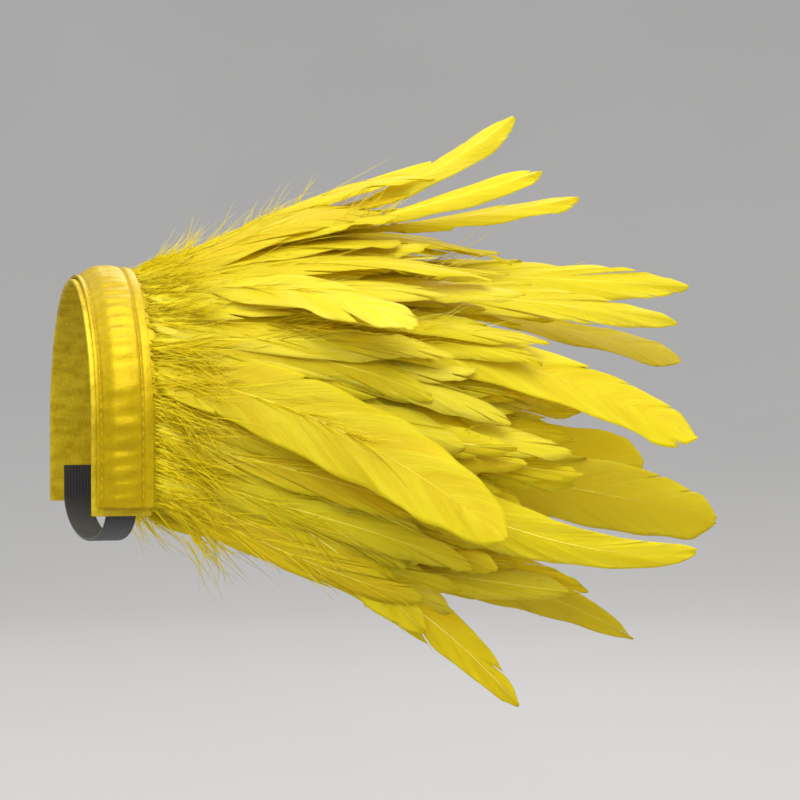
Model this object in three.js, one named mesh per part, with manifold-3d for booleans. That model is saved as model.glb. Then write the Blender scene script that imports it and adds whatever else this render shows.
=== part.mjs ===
// Feather shoulder piece: a satin band arched over the shoulder, two rows of feather trim sewn into the
// band, and an elastic that closes the loop under the arm.
// Millimetres. +Z is up, +X points outward along the shoulder and -Y to the wearer's front.
// The origin is the middle of the band's inner face, where it sits on top of the shoulder.
import * as THREE from "three";
import { mergeVertices } from "three/addons/utils/BufferGeometryUtils.js";
import Module from "manifold-3d";

const wasm = await Module();
wasm.setup();

// Arch of the band, measured on its inner face
const ARCH_RADIUS = 52;
const LEG_LENGTH = 23;
const QUARTER_ARC = (Math.PI / 2) * ARCH_RADIUS;
const FACING_HALF_LENGTH = QUARTER_ARC + LEG_LENGTH;

// Band and trim layers, stacked outward from the inner face with a small gap between them
const BAND_HALF_WIDTH = 10;
const BACKING_THICKNESS = 1.2;
const BACKING_TAB = 3;
const BACKING_STEP = 6;
const TAPE_INNER_X = -2;
const TAPE_OUTER_X = BAND_HALF_WIDTH + 1;
const TAPE_END_INSET = 2;
const TAPE_STEP = 8;

// Cross-section of the facing: place across the band, inner and outer height, and share of the gathers
const FACING_SECTION = [
  { x: -8.4, under: 1.5, over: 2.6, gather: 0 },
  { x: -6.8, under: 1.5, over: 2.8, gather: 0 },
  { x: -2.6, under: 4.25, over: 5.5, gather: 0.9 },
  { x: 2.0, under: 4.25, over: 5.9, gather: 1 },
  { x: 5.4, under: 4.25, over: 5.7, gather: 0.8 },
  { x: 6.6, under: 4.25, over: 5.05, gather: 0 },
  { x: 8.2, under: 4.25, over: 5.6, gather: 0 },
  { x: BAND_HALF_WIDTH, under: 4.25, over: 5.3, gather: 0 },
];
const FACING_STEP = 3.6;
const GATHER_HEIGHT = 0.55;
const GATHER_WAVES = [
  { pitch: 9.4, share: 0.6 },
  { pitch: 15.1, share: 0.4 },
];

// Elastic under the arm
const ELASTIC_WIDTH = 10;
const ELASTIC_THICKNESS = 1;
const ELASTIC_GAP = 0.3;
const ELASTIC_OVERLAP = 10;
const ELASTIC_SAG = 13;
const ELASTIC_STEPS = 24;

// Feather strip: share of the length, share of the full width and of the full thickness
const FEATHER_STATIONS = [
  { along: 0, width: 0.16, thickness: 0.55 },
  { along: 0.12, width: 0.55, thickness: 0.9 },
  { along: 0.38, width: 0.86, thickness: 1 },
  { along: 0.72, width: 1, thickness: 0.85 },
  { along: 0.93, width: 0.8, thickness: 0.7 },
  { along: 1, width: 0.22, thickness: 0.5 },
];
const FEATHER_THICKNESS = 1.4;
const FEATHER_CAMBER = 0.07;
const FEATHER_ROOT_X = BAND_HALF_WIDTH - 0.2;
const FEATHER_FAN = 24;
const FUSE_TOLERANCE = 0.02;

// Shaft curve: how far it runs straight out of the band, and how much of the rest its bend keeps
const SHAFT_LEAD = 0.36;
const SHAFT_BEND = 0.5;

// The two rows of trim: height of the tape over the inner face, rise of a feather as it leaves the band,
// and the sizes of the short feathers that fill the row between the long ones
const OUTER_ROW = {
  tapeLow: 2.9,
  tapeHigh: 3.85,
  rise: 17,
  seed: 3,
};
const INNER_ROW = {
  tapeLow: 1.5,
  tapeHigh: 2.5,
  rise: 4,
  seed: 11,
};

// Feathers spread evenly along a row between its long ones, and the short tufts of down over its roots.
// rise: slope out from the band. spread: fan towards the ends. sag: droop, as a share of the length.
const OUTER_SPREADS = [
  { count: 24, length: 112, rise: 23, width: 19, spread: 0.18, sag: 0.14 },
  { count: 18, length: 31, rise: 31, width: 13, spread: 0.85, sag: 0 },
];
const INNER_SPREADS = [{ count: 20, length: 132, rise: 5, width: 18, spread: 0.11, sag: 0.14 }];
const SPREAD_FLICK = -4;
const SPREAD_VARIES = { length: 0.16, rise: 2, width: 0.12, turn: 10 };

// Long feathers at the front and over the top. root: place on the band from its crown, positive to the
// front. out, front, up: where the tip is. flick: how far the tip turns up. turn: roll about the shaft.
const OUTER_LEADS = [
  { root: -8, out: 126, front: -25, up: 46, flick: -6, width: 14, turn: 30 },
  { root: 0, out: 178, front: -10, up: 33, flick: 7, width: 13, turn: 40 },
  { root: 6, out: 148, front: 8, up: 60, flick: 14, width: 13, turn: 50 },
  { root: 14, out: 154, front: 22, up: 40, flick: 4, width: 13, turn: 40 },
  { root: 30, out: 92, front: 82, up: -16, flick: -6, width: 18, turn: 0 },
  { root: 44, out: 197, front: 62, up: -53, flick: -8, width: 21, turn: 6 },
  { root: 62, out: 119, front: 95, up: -85, flick: -4, width: 25, turn: 0 },
  { root: 70, out: 191, front: 78, up: -91, flick: 14, width: 20, turn: 12 },
  { root: 88, out: 98, front: 72, up: -117, flick: -6, width: 18, turn: 0 },
  { root: 97, out: 132, front: 67, up: -143, flick: -16, width: 19, turn: -8 },
];
const INNER_LEADS = [
  { root: -14, out: 221, front: -18, up: -27, flick: -4, width: 19, turn: 60 },
  { root: 8, out: 215, front: 6, up: 0, flick: 0, width: 19, turn: 55 },
  { root: 24, out: 202, front: 30, up: -14, flick: -6, width: 16, turn: 40 },
  { root: 72, out: 222, front: 15, up: -85, flick: -8, width: 26, turn: 6 },
  { root: 88, out: 172, front: 12, up: -117, flick: -6, width: 20, turn: 0 },
  { root: 98, out: 194, front: 2, up: -128, flick: -18, width: 16, turn: 10 },
];

// Long feathers at the back: the front ones that root past a place on the band, mirrored, then set a
// little shorter, less drooping and further out
const BACK_LEADS_FROM = 20;
const BACK_REACH = 0.95;
const BACK_DROOP = 0.8;
const BACK_SPREAD = 5;
const BACK_VARIES = { root: 2, out: 0.06, up: 8 };

// A repeatable spread of values from -1 to 1
function vary(index, seed) {
  const wave = Math.sin(index * 12.9898 + seed * 78.233) * 43758.5453;
  return 2 * (wave - Math.floor(wave)) - 1;
}

// Frame of the arch at a place along it: the point on the inner face, the outward and the along direction
function archFrame(place) {
  const side = Math.sign(place) || 1;
  const beyond = Math.max(0, Math.abs(place) - QUARTER_ARC);
  const angle = (place - side * beyond) / ARCH_RADIUS;
  const outward = new THREE.Vector3(0, -Math.sin(angle), Math.cos(angle));
  const along = new THREE.Vector3(0, -Math.cos(angle), -Math.sin(angle));
  const point = outward.clone().multiplyScalar(ARCH_RADIUS);
  point.add(new THREE.Vector3(0, 0, -ARCH_RADIUS)).addScaledVector(along, side * beyond);
  return { point, outward, along };
}

function onArch(place, height, x) {
  const { point, outward } = archFrame(place);
  return point.addScaledVector(outward, height).setX(x);
}

// Closed solid through rings of points, each ring going round the same way, with flat ends
function loft(rings) {
  const count = rings[0].length;
  const positions = rings.flat().flatMap((p) => [p.x, p.y, p.z]);
  const faces = [];
  for (let ring = 0; ring + 1 < rings.length; ring++) {
    for (let i = 0; i < count; i++) {
      const a = ring * count + i;
      const b = ring * count + ((i + 1) % count);
      faces.push(a, b, b + count, a, b + count, a + count);
    }
  }
  const start = endFaces(rings[0]);
  const end = endFaces(rings.at(-1));
  const last = (rings.length - 1) * count;
  start.forEach(([a, b, c]) => faces.push(a, c, b));
  end.forEach(([a, b, c]) => faces.push(last + a, last + b, last + c));
  const geometry = new THREE.BufferGeometry();
  geometry.setAttribute("position", new THREE.Float32BufferAttribute(positions, 3));
  geometry.setIndex(faces);
  return geometry;
}

// Triangles over a flat ring, found in the ring's own plane
function endFaces(ring) {
  const normal = new THREE.Vector3();
  const next = (i) => ring[(i + 1) % ring.length];
  ring.forEach((p, i) => normal.add(new THREE.Vector3().crossVectors(p, next(i))));
  const across = ring[1].clone().sub(ring[0]).normalize();
  const upward = new THREE.Vector3().crossVectors(normal.normalize(), across);
  const flat = ring.map((p) => new THREE.Vector2(p.dot(across), p.dot(upward)));
  return THREE.ShapeUtils.triangulateShape(flat, []);
}

// Rings of one section carried along the arch from one end to the other
function alongArch(halfLength, step, section) {
  const steps = Math.ceil((2 * halfLength) / step);
  return Array.from({ length: steps + 1 }, (_, i) => {
    const place = (2 * halfLength * i) / steps - halfLength;
    return section(place).map(({ x, height }) => onArch(place, height, x));
  });
}

function flatSection(lowX, highX, low, high) {
  return [
    { x: lowX, height: low },
    { x: highX, height: low },
    { x: highX, height: high },
    { x: lowX, height: high },
  ];
}

function bandBacking() {
  const halfLength = FACING_HALF_LENGTH + BACKING_TAB;
  const section = flatSection(-BAND_HALF_WIDTH, BAND_HALF_WIDTH, 0, BACKING_THICKNESS);
  return loft(alongArch(halfLength, BACKING_STEP, () => section));
}

// Height that the gathers add to the facing at a place along the band
function gatherHeight(place) {
  const wave = ({ pitch, share }) => share * Math.sin((2 * Math.PI * place) / pitch);
  return GATHER_HEIGHT * GATHER_WAVES.reduce((sum, row) => sum + wave(row), 0);
}

function bandFacing() {
  const section = (place) => {
    const lift = gatherHeight(place);
    const under = FACING_SECTION.map(({ x, under }) => ({ x, height: under }));
    const over = FACING_SECTION.map(({ x, over, gather }) => ({ x, height: over + gather * lift }));
    return [...under, ...over.reverse()];
  };
  return loft(alongArch(FACING_HALF_LENGTH, FACING_STEP, section));
}

// Strap from leg to leg: it lies on the backing's inner face, then sags in half an ellipse under the arm
function underarmElastic() {
  const reach = ARCH_RADIUS - ELASTIC_GAP - ELASTIC_THICKNESS / 2;
  const legEnd = -ARCH_RADIUS - LEG_LENGTH;
  const strapLine = [new THREE.Vector2(-reach, legEnd + ELASTIC_OVERLAP)];
  for (let i = 0; i <= ELASTIC_STEPS; i++) {
    const angle = (Math.PI * i) / ELASTIC_STEPS;
    strapLine.push(new THREE.Vector2(-reach * Math.cos(angle), legEnd - ELASTIC_SAG * Math.sin(angle)));
  }
  strapLine.push(new THREE.Vector2(reach, legEnd + ELASTIC_OVERLAP));
  const rings = strapLine.map((point, i) => {
    const before = strapLine[Math.max(0, i - 1)];
    const after = strapLine[Math.min(strapLine.length - 1, i + 1)];
    const heading = after.clone().sub(before).normalize();
    const half = new THREE.Vector2(-heading.y, heading.x).multiplyScalar(ELASTIC_THICKNESS / 2);
    const corner = (x, side) => new THREE.Vector3(x, point.x + side * half.x, point.y + side * half.y);
    const halfWidth = ELASTIC_WIDTH / 2;
    return [corner(-halfWidth, 1), corner(halfWidth, 1), corner(halfWidth, -1), corner(-halfWidth, -1)];
  });
  return loft(rings);
}

// Curve of a feather's shaft: it leaves the band at the row's rise, fanned out towards the band's ends, and
// bends towards its tip
function shaftCurve(feather, row) {
  const frame = archFrame(feather.root);
  const root = onArch(feather.root, (row.tapeLow + row.tapeHigh) / 2, FEATHER_ROOT_X);
  const tip = new THREE.Vector3(feather.out, -feather.front, feather.up);
  const length = root.distanceTo(tip);
  const fan = THREE.MathUtils.degToRad(FEATHER_FAN) * (feather.root / FACING_HALF_LENGTH);
  const leaving = new THREE.Vector3(1, 0, 0);
  leaving.addScaledVector(frame.outward, Math.tan(THREE.MathUtils.degToRad(row.rise)));
  leaving.addScaledVector(frame.along, Math.tan(fan)).normalize();
  const nearRoot = root.clone().addScaledVector(leaving, length * SHAFT_LEAD);
  const nearTip = nearRoot.clone().lerp(tip, SHAFT_BEND).add(new THREE.Vector3(0, 0, -feather.flick));
  return new THREE.CubicBezierCurve3(root, nearRoot, nearTip, tip);
}

// One feather as a cambered strip, its flat side facing out from the arm
function featherStrip(feather, row) {
  const curve = shaftCurve(feather, row);
  const { along } = archFrame(feather.root);
  const turn = THREE.MathUtils.degToRad(feather.turn);
  const rings = FEATHER_STATIONS.map((station) => {
    const centre = curve.getPoint(station.along);
    const heading = curve.getTangent(station.along);
    const across = along.clone().addScaledVector(heading, -along.dot(heading)).normalize();
    across.applyAxisAngle(heading, turn * station.along);
    const inward = new THREE.Vector3().crossVectors(heading, across);
    const halfWidth = (feather.width * station.width) / 2;
    const halfThickness = (FEATHER_THICKNESS * station.thickness) / 2;
    const edgeDrop = 2 * halfWidth * FEATHER_CAMBER;
    const at = (side, depth) =>
      centre.clone().addScaledVector(across, side * halfWidth).addScaledVector(inward, depth);
    return [at(-1, edgeDrop), at(0, -halfThickness), at(1, edgeDrop), at(0, halfThickness)];
  });
  return loft(rings);
}

// Feathers of one size spread evenly along a row, each a little different
function spreadFeathers(row, spread) {
  return Array.from({ length: spread.count }, (_, i) => {
    const reach = FACING_HALF_LENGTH - 2 * TAPE_END_INSET;
    const root = reach * (1 - (2 * i) / (spread.count - 1));
    const { point, outward, along } = archFrame(root);
    const length = spread.length * (1 + SPREAD_VARIES.length * vary(i, row.seed));
    const rise = THREE.MathUtils.degToRad(spread.rise + SPREAD_VARIES.rise * vary(i, row.seed + 1));
    const tip = point.clone().setX(FEATHER_ROOT_X + length * Math.cos(rise));
    tip.addScaledVector(outward, row.tapeHigh + length * Math.sin(rise));
    tip.addScaledVector(along, length * spread.spread * (root / reach));
    tip.z -= length * spread.sag;
    const width = spread.width * (1 + SPREAD_VARIES.width * vary(i, row.seed + 2));
    const turn = SPREAD_VARIES.turn * vary(i, row.seed + 3);
    return { root, out: tip.x, front: -tip.y, up: tip.z, flick: SPREAD_FLICK, width, turn };
  });
}

// Long feathers behind the shoulder, like the front ones but each a little different
function backLeads(leads, row) {
  return leads
    .filter(({ root }) => root > BACK_LEADS_FROM)
    .map((lead, i) => ({
      ...lead,
      root: -lead.root + BACK_VARIES.root * vary(i, row.seed + 4),
      out: lead.out * (BACK_REACH + BACK_VARIES.out * vary(i, row.seed + 5)),
      front: -lead.front - BACK_SPREAD,
      up: lead.up * BACK_DROOP + BACK_VARIES.up * vary(i, row.seed + 6),
      turn: -lead.turn,
    }));
}

function toSolid(geometry) {
  geometry.deleteAttribute("normal");
  geometry.deleteAttribute("uv");
  const merged = mergeVertices(geometry, 1e-4);
  const mesh = new wasm.Mesh({
    numProp: 3,
    vertProperties: new Float32Array(merged.attributes.position.array),
    triVerts: new Uint32Array(merged.index.array),
  });
  return new wasm.Manifold(mesh);
}

function toGeometry(solid) {
  const mesh = solid.getMesh();
  const geometry = new THREE.BufferGeometry();
  geometry.setAttribute("position", new THREE.BufferAttribute(mesh.vertProperties, 3));
  geometry.setIndex(new THREE.BufferAttribute(mesh.triVerts, 1));
  return geometry;
}

// A row of trim: every feather fused to the heading tape that is sewn into the band. Of the fused shells
// only the largest, the outer one, is kept, so that a pocket closed in by crossing feathers is solid.
function featherRow(leads, spreads, row) {
  const section = flatSection(TAPE_INNER_X, TAPE_OUTER_X, row.tapeLow, row.tapeHigh);
  const tape = toSolid(loft(alongArch(FACING_HALF_LENGTH - TAPE_END_INSET, TAPE_STEP, () => section)));
  const between = spreads.flatMap((spread) => spreadFeathers(row, spread));
  const feathers = [...leads, ...backLeads(leads, row), ...between];
  const strips = feathers.map((feather) => toSolid(featherStrip(feather, row)));
  const shells = strips.reduce((fused, strip) => fused.add(strip), tape).decompose();
  const outer = shells.reduce((largest, shell) => (shell.volume() > largest.volume() ? shell : largest));
  return toGeometry(outer.simplify(FUSE_TOLERANCE));
}

const satin = new THREE.MeshStandardMaterial({ color: 0xf0c514, roughness: 0.35, metalness: 0 });
const feather = new THREE.MeshStandardMaterial({ color: 0xf5d60a, roughness: 0.6, metalness: 0 });
const elastic = new THREE.MeshStandardMaterial({ color: 0x17171a, roughness: 0.8, metalness: 0 });

function piece(name, geometry, material) {
  geometry.computeVertexNormals();
  const mesh = new THREE.Mesh(geometry, material);
  mesh.name = name;
  return mesh;
}

const shoulderPiece = new THREE.Group();
shoulderPiece.add(
  piece("band_backing", bandBacking(), satin),
  piece("band_facing", bandFacing(), satin),
  piece("feather_row_inner", featherRow(INNER_LEADS, INNER_SPREADS, INNER_ROW), feather),
  piece("feather_row_outer", featherRow(OUTER_LEADS, OUTER_SPREADS, OUTER_ROW), feather),
  piece("underarm_elastic", underarmElastic(), elastic),
);

export default shoulderPiece;
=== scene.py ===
"""Feather shoulder piece, dressed for its render: satin band, two rows of trim and an elastic."""
import logging
import math
from collections.abc import Callable
from dataclasses import dataclass, field, replace
from enum import Enum

import bmesh
import bpy
import numpy as np
from mathutils import Matrix, Vector


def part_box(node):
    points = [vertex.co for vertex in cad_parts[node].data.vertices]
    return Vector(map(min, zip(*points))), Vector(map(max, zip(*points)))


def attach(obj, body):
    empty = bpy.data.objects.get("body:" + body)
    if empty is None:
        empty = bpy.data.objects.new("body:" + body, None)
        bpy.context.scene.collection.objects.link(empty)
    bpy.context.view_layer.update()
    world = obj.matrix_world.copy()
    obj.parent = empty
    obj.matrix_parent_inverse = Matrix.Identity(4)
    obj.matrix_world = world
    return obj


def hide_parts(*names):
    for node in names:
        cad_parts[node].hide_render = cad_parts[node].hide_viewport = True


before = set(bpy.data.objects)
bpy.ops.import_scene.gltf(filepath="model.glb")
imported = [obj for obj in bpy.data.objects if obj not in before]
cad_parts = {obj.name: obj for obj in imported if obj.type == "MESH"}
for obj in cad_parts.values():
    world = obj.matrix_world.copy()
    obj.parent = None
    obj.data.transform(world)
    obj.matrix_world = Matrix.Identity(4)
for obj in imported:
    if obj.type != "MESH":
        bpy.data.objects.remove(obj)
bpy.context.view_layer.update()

LOG = logging.getLogger("shoulder_piece")
BODY = "root"
MM = 0.001

# Values that several shapes share
ACROSS = np.array([1.0, 0.0, 0.0])
VARY_STEPS = (12.9898, 78.233, 43758.5453)
EASE_STEPS = 9
TIP_EASE = 0.03
STRAND_CORNERS = np.radians([30.0, 150.0, 270.0])
TINY = 1e-4

Colour = tuple[float, float, float, float]
Height = Callable[[np.ndarray, np.ndarray], np.ndarray]
Shape = Callable[[np.ndarray, np.ndarray], tuple[np.ndarray, np.ndarray]]


class Tone(Enum):
    """Cast of a feather: how pale its dye is, and how far it turns to olive, which is painted shade for
    feathers that lie in shade or let the backdrop show through.
    """

    LEMON = (0.55, 0.0)
    PALE = (0.95, 0.05)
    GOLD = (0.34, 0.0)
    # painted shade: an olive cast for thin feathers in shade that let the backdrop show through
    OLIVE_SHADE = (0.5, 0.6)
    # painted shade: a deep olive cast for a feather that lies in shade
    SHADE = (0.3, 1.2)


class Slot(Enum):
    """The record's material slots."""

    SATIN = "satin_yellow"
    FEATHER = "feather_yellow"
    ELASTIC = "elastic_black"


# Shader helpers


class Value:
    """A number on a node socket: arithmetic on it adds Math nodes."""

    def __init__(self, shader: "Shader", socket: bpy.types.NodeSocket) -> None:
        """Keeps the socket and the shader that its Math nodes go to."""
        self.shader = shader
        self.socket = socket

    def _math(self, operation: str, first: object, second: object) -> "Value":
        """Adds one Math node.

        Args:
            operation: the Math node's operation.
            first: its first input, a Value or a number.
            second: its second input, a Value or a number.

        Returns:
            The node's result.
        """
        made = self.shader.node("ShaderNodeMath", {"operation": operation}, {0: first, 1: second})
        return Value(self.shader, made.outputs[0])

    def __add__(self, other: object) -> "Value":
        """Sum."""
        return self._math("ADD", self, other)

    def __sub__(self, other: object) -> "Value":
        """Difference."""
        return self._math("SUBTRACT", self, other)

    def __rsub__(self, other: object) -> "Value":
        """Difference, with the number first."""
        return self._math("SUBTRACT", other, self)

    def __mul__(self, other: object) -> "Value":
        """Product."""
        return self._math("MULTIPLY", self, other)

    __radd__ = __add__
    __rmul__ = __mul__

    def __abs__(self) -> "Value":
        """Size without its sign."""
        return self._math("ABSOLUTE", self, 0.0)

    def wave(self) -> "Value":
        """Sine of the value, in radians."""
        return self._math("SINE", self, 0.0)

    def ramp(self, low: float, high: float) -> "Value":
        """Goes smoothly from 0 at low to 1 at high.

        Args:
            low: the value where the ramp starts.
            high: the value where it ends.

        Returns:
            The ramp's height.
        """
        settings = {"interpolation_type": "SMOOTHSTEP", "clamp": True}
        made = self.shader.node("ShaderNodeMapRange", settings, {0: self, 1: low, 2: high})
        return Value(self.shader, made.outputs[0])


class Shader:
    """Node tree of one material."""

    def __init__(self, name: str) -> None:
        """Starts an empty material.

        Args:
            name: the material's name.
        """
        self.material = bpy.data.materials.new(name)
        self.material.use_nodes = True
        self.tree = self.material.node_tree
        self.tree.nodes.clear()

    def node(
        self, kind: str, settings: dict[str, object], inputs: dict[object, object]
    ) -> bpy.types.Node:
        """Adds one node.

        Args:
            kind: the node's type.
            settings: its properties, set before its sockets.
            inputs: a number, colour, Value or socket for each input, by name or place.

        Returns:
            The node.
        """
        made = self.tree.nodes.new(kind)
        for name, setting in settings.items():
            setattr(made, name, setting)
        for key, given in inputs.items():
            socket = made.inputs[key]
            if isinstance(given, Value):
                self.tree.links.new(given.socket, socket)
            elif isinstance(given, bpy.types.NodeSocket):
                self.tree.links.new(given, socket)
            else:
                socket.default_value = given
        return made

    def noise(self, across: object, along: object, depth: object, detail: float) -> Value:
        """Noise read at a place on the surface.

        Args:
            across: first coordinate.
            along: second coordinate.
            depth: third coordinate, which sets one feather apart from the next.
            detail: number of finer layers.

        Returns:
            The noise, from 0 to 1.
        """
        place = self.node("ShaderNodeCombineXYZ", {}, {0: across, 1: along, 2: depth}).outputs[0]
        return self.noise_at(place, 1.0, detail)

    def noise_at(self, place: bpy.types.NodeSocket, scale: float, detail: float) -> Value:
        """Noise read at a place that a socket gives.

        Args:
            place: the place's socket.
            scale: number of the noise's cells in one unit of the place.
            detail: number of finer layers.

        Returns:
            The noise, from 0 to 1.
        """
        inputs = {"Vector": place, "Scale": scale, "Detail": detail}
        return Value(self, self.node("ShaderNodeTexNoise", {}, inputs).outputs[0])

    def own_place(self) -> bpy.types.NodeSocket:
        """The piece's own coordinates, in metres."""
        return self.node("ShaderNodeTexCoord", {}, {}).outputs["Object"]

    def mix(self, factor: object, low: object, high: object) -> bpy.types.NodeSocket:
        """Colour between two others.

        Args:
            factor: share of the second colour.
            low: first colour or socket.
            high: second colour or socket.

        Returns:
            The colour's socket.
        """
        inputs = {0: factor, 6: low, 7: high}
        return self.node("ShaderNodeMix", {"data_type": "RGBA"}, inputs).outputs[2]

    def bump(self, height: object, strength: float, distance: float) -> bpy.types.NodeSocket:
        """Normal raised by a height.

        Args:
            height: the height, from 0 to 1.
            strength: share of the effect.
            distance: what a height of 1 stands for, in metres.

        Returns:
            The normal's socket.
        """
        inputs = {"Strength": strength, "Distance": distance, "Height": height}
        return self.node("ShaderNodeBump", {}, inputs).outputs[0]

    def surface(self, inputs: dict[object, object]) -> bpy.types.NodeSocket:
        """Principled surface with the given sockets."""
        return self.node("ShaderNodeBsdfPrincipled", {}, inputs).outputs[0]

    def lit_through(
        self, skin: bpy.types.NodeSocket, glow: Colour, share: float
    ) -> bpy.types.NodeSocket:
        """Surface that also lets light through from behind.

        Args:
            skin: the surface's own shader.
            glow: colour of the light that comes through.
            share: share of that light.

        Returns:
            The socket of both together.
        """
        behind = self.node("ShaderNodeBsdfTranslucent", {}, {"Color": glow}).outputs[0]
        return self.node("ShaderNodeMixShader", {}, {0: share, 1: skin, 2: behind}).outputs[0]

    def finish(self, shown: bpy.types.NodeSocket) -> bpy.types.Material:
        """Joins a shader to the output.

        Args:
            shown: the shader's socket.

        Returns:
            The finished material.
        """
        self.node("ShaderNodeOutputMaterial", {}, {"Surface": shown})
        return self.material

    def marks(self) -> tuple[Value, Value]:
        """The piece's own map: place across and along its surface."""
        uv = self.node("ShaderNodeUVMap", {"uv_map": "marks"}, {}).outputs[0]
        split = self.node("ShaderNodeSeparateXYZ", {}, {0: uv})
        return Value(self, split.outputs[0]), Value(self, split.outputs[1])

    def tones(self) -> tuple[Value, Value, Value]:
        """The feather's own values: paleness, olive cast, which is painted shade, and a number that sets
        it apart.
        """
        read = self.node("ShaderNodeAttribute", {"attribute_name": "tone"}, {}).outputs[1]
        split = self.node("ShaderNodeSeparateXYZ", {}, {0: read})
        return tuple(Value(self, socket) for socket in split.outputs)


# Finishes


@dataclass(frozen=True)
class VaneFinish:
    """Dyed vane: barb lines across a silky, slightly translucent web, with an olive cast that is painted
    shade.
    """

    deep: Colour = (0.76, 0.575, 0.004, 1.0)
    lemon: Colour = (0.87, 0.815, 0.009, 1.0)
    pale: Colour = (0.92, 0.87, 0.075, 1.0)
    # painted shade: the olive cast darkens and greys feathers that lie in shade or let the backdrop show
    # through
    olive_shade: Colour = (0.5, 0.42, 0.02, 1.0)
    glow: Colour = (0.96, 0.79, 0.016, 1.0)
    through: float = 0.5
    barbs_per_mm: float = 1.5
    barb_cells: float = 1.1
    locks_per_mm: float = 0.16
    lock_cells: float = 0.7
    feather_shift: float = 41.0
    side_shift: float = 7.0
    shaft_half: float = 0.02
    contrast: tuple[float, float] = (0.3, 0.7)
    barb_share: float = 0.4
    lock_share: float = 0.6
    tone_share: float = 0.65
    streak_share: float = 0.4
    edge_from: float = 0.55
    edge_share: float = 0.15
    darker: float = 0.08
    lemon_over: tuple[float, float] = (0.0, 0.62)
    pale_over: tuple[float, float] = (0.5, 1.1)
    even_olive_shade: float = 0.5
    barb_height: float = 0.7
    lock_height: float = 0.8
    raised: float = 0.6
    roughness: float = 0.62
    silk: float = 0.2
    specular: float = 0.32
    sheen: float = 0.25
    sheen_roughness: float = 0.4
    relief: float = 0.0007

    def material(self) -> bpy.types.Material:
        """Builds the finish.

        Returns:
            The material.
        """
        shader = Shader("feather_vane")
        across, along = shader.marks()
        paleness, shade_cast, number = shader.tones()
        side = abs(across)
        turned = across.ramp(-self.shaft_half, self.shaft_half)
        apart = number * self.feather_shift + turned * self.side_shift
        barbs = shader.noise(side * self.barb_cells, along * self.barbs_per_mm, apart, 2.0)
        locks = shader.noise(side * self.lock_cells, along * self.locks_per_mm, apart + 3.0, 1.0)
        streaks = barbs.ramp(*self.contrast) * self.barb_share
        streaks = streaks + locks.ramp(*self.contrast) * self.lock_share
        light = paleness * self.tone_share + streaks * self.streak_share
        light = light + side.ramp(self.edge_from, 1.0) * self.edge_share - self.darker
        base = shader.mix(light.ramp(*self.lemon_over), self.deep, self.lemon)
        base = shader.mix(light.ramp(*self.pale_over), base, self.pale)
        streaked = self.even_olive_shade + streaks * (1.0 - self.even_olive_shade)
        # painted shade: the olive cast, laid on by each feather's share of it and its streaks
        base = shader.mix(shade_cast * streaked, base, self.olive_shade)
        height = barbs * self.barb_height + locks * self.lock_height
        skin = shader.surface({
            "Base Color": base,
            "Roughness": self.roughness - self.silk * streaks,
            "Specular IOR Level": self.specular,
            "Sheen Weight": self.sheen,
            "Sheen Roughness": self.sheen_roughness,
            "Sheen Tint": self.pale,
            "Normal": shader.bump(height, self.raised, self.relief),
        })
        return shader.finish(shader.lit_through(skin, self.glow, self.through))


@dataclass(frozen=True)
class QuillFinish:
    """Bare shaft of a feather: dyed nearly like the vane, paler on some."""

    root: Colour = (0.8, 0.63, 0.008, 1.0)
    tip: Colour = (0.88, 0.75, 0.03, 1.0)
    pale: Colour = (0.97, 0.88, 0.4, 1.0)
    grain_cells: tuple[float, float] = (4.0, 20.0)
    dyed_to: tuple[float, float] = (0.15, 0.5)
    tip_over: tuple[float, float] = (0.0, 0.6)
    tip_share: float = 0.8
    grain_share: float = 0.2
    grain_rough: float = 0.15
    raised: float = 0.2
    roughness: float = 0.5
    specular: float = 0.25
    relief: float = 0.0002

    def material(self) -> bpy.types.Material:
        """Builds the finish.

        Returns:
            The material.
        """
        shader = Shader("feather_quill")
        across, along = shader.marks()
        paleness = shader.tones()[0]
        grain = shader.noise(across * self.grain_cells[0], along * self.grain_cells[1], 0.5, 2.0)
        light = along.ramp(*self.tip_over) * self.tip_share + grain * self.grain_share
        base = shader.mix(light, self.root, self.tip)
        skin = shader.surface({
            "Base Color": shader.mix(paleness * along.ramp(*self.dyed_to), base, self.pale),
            "Roughness": self.roughness + self.grain_rough * grain,
            "Specular IOR Level": self.specular,
            "Normal": shader.bump(grain, self.raised, self.relief),
        })
        return shader.finish(skin)


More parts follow.
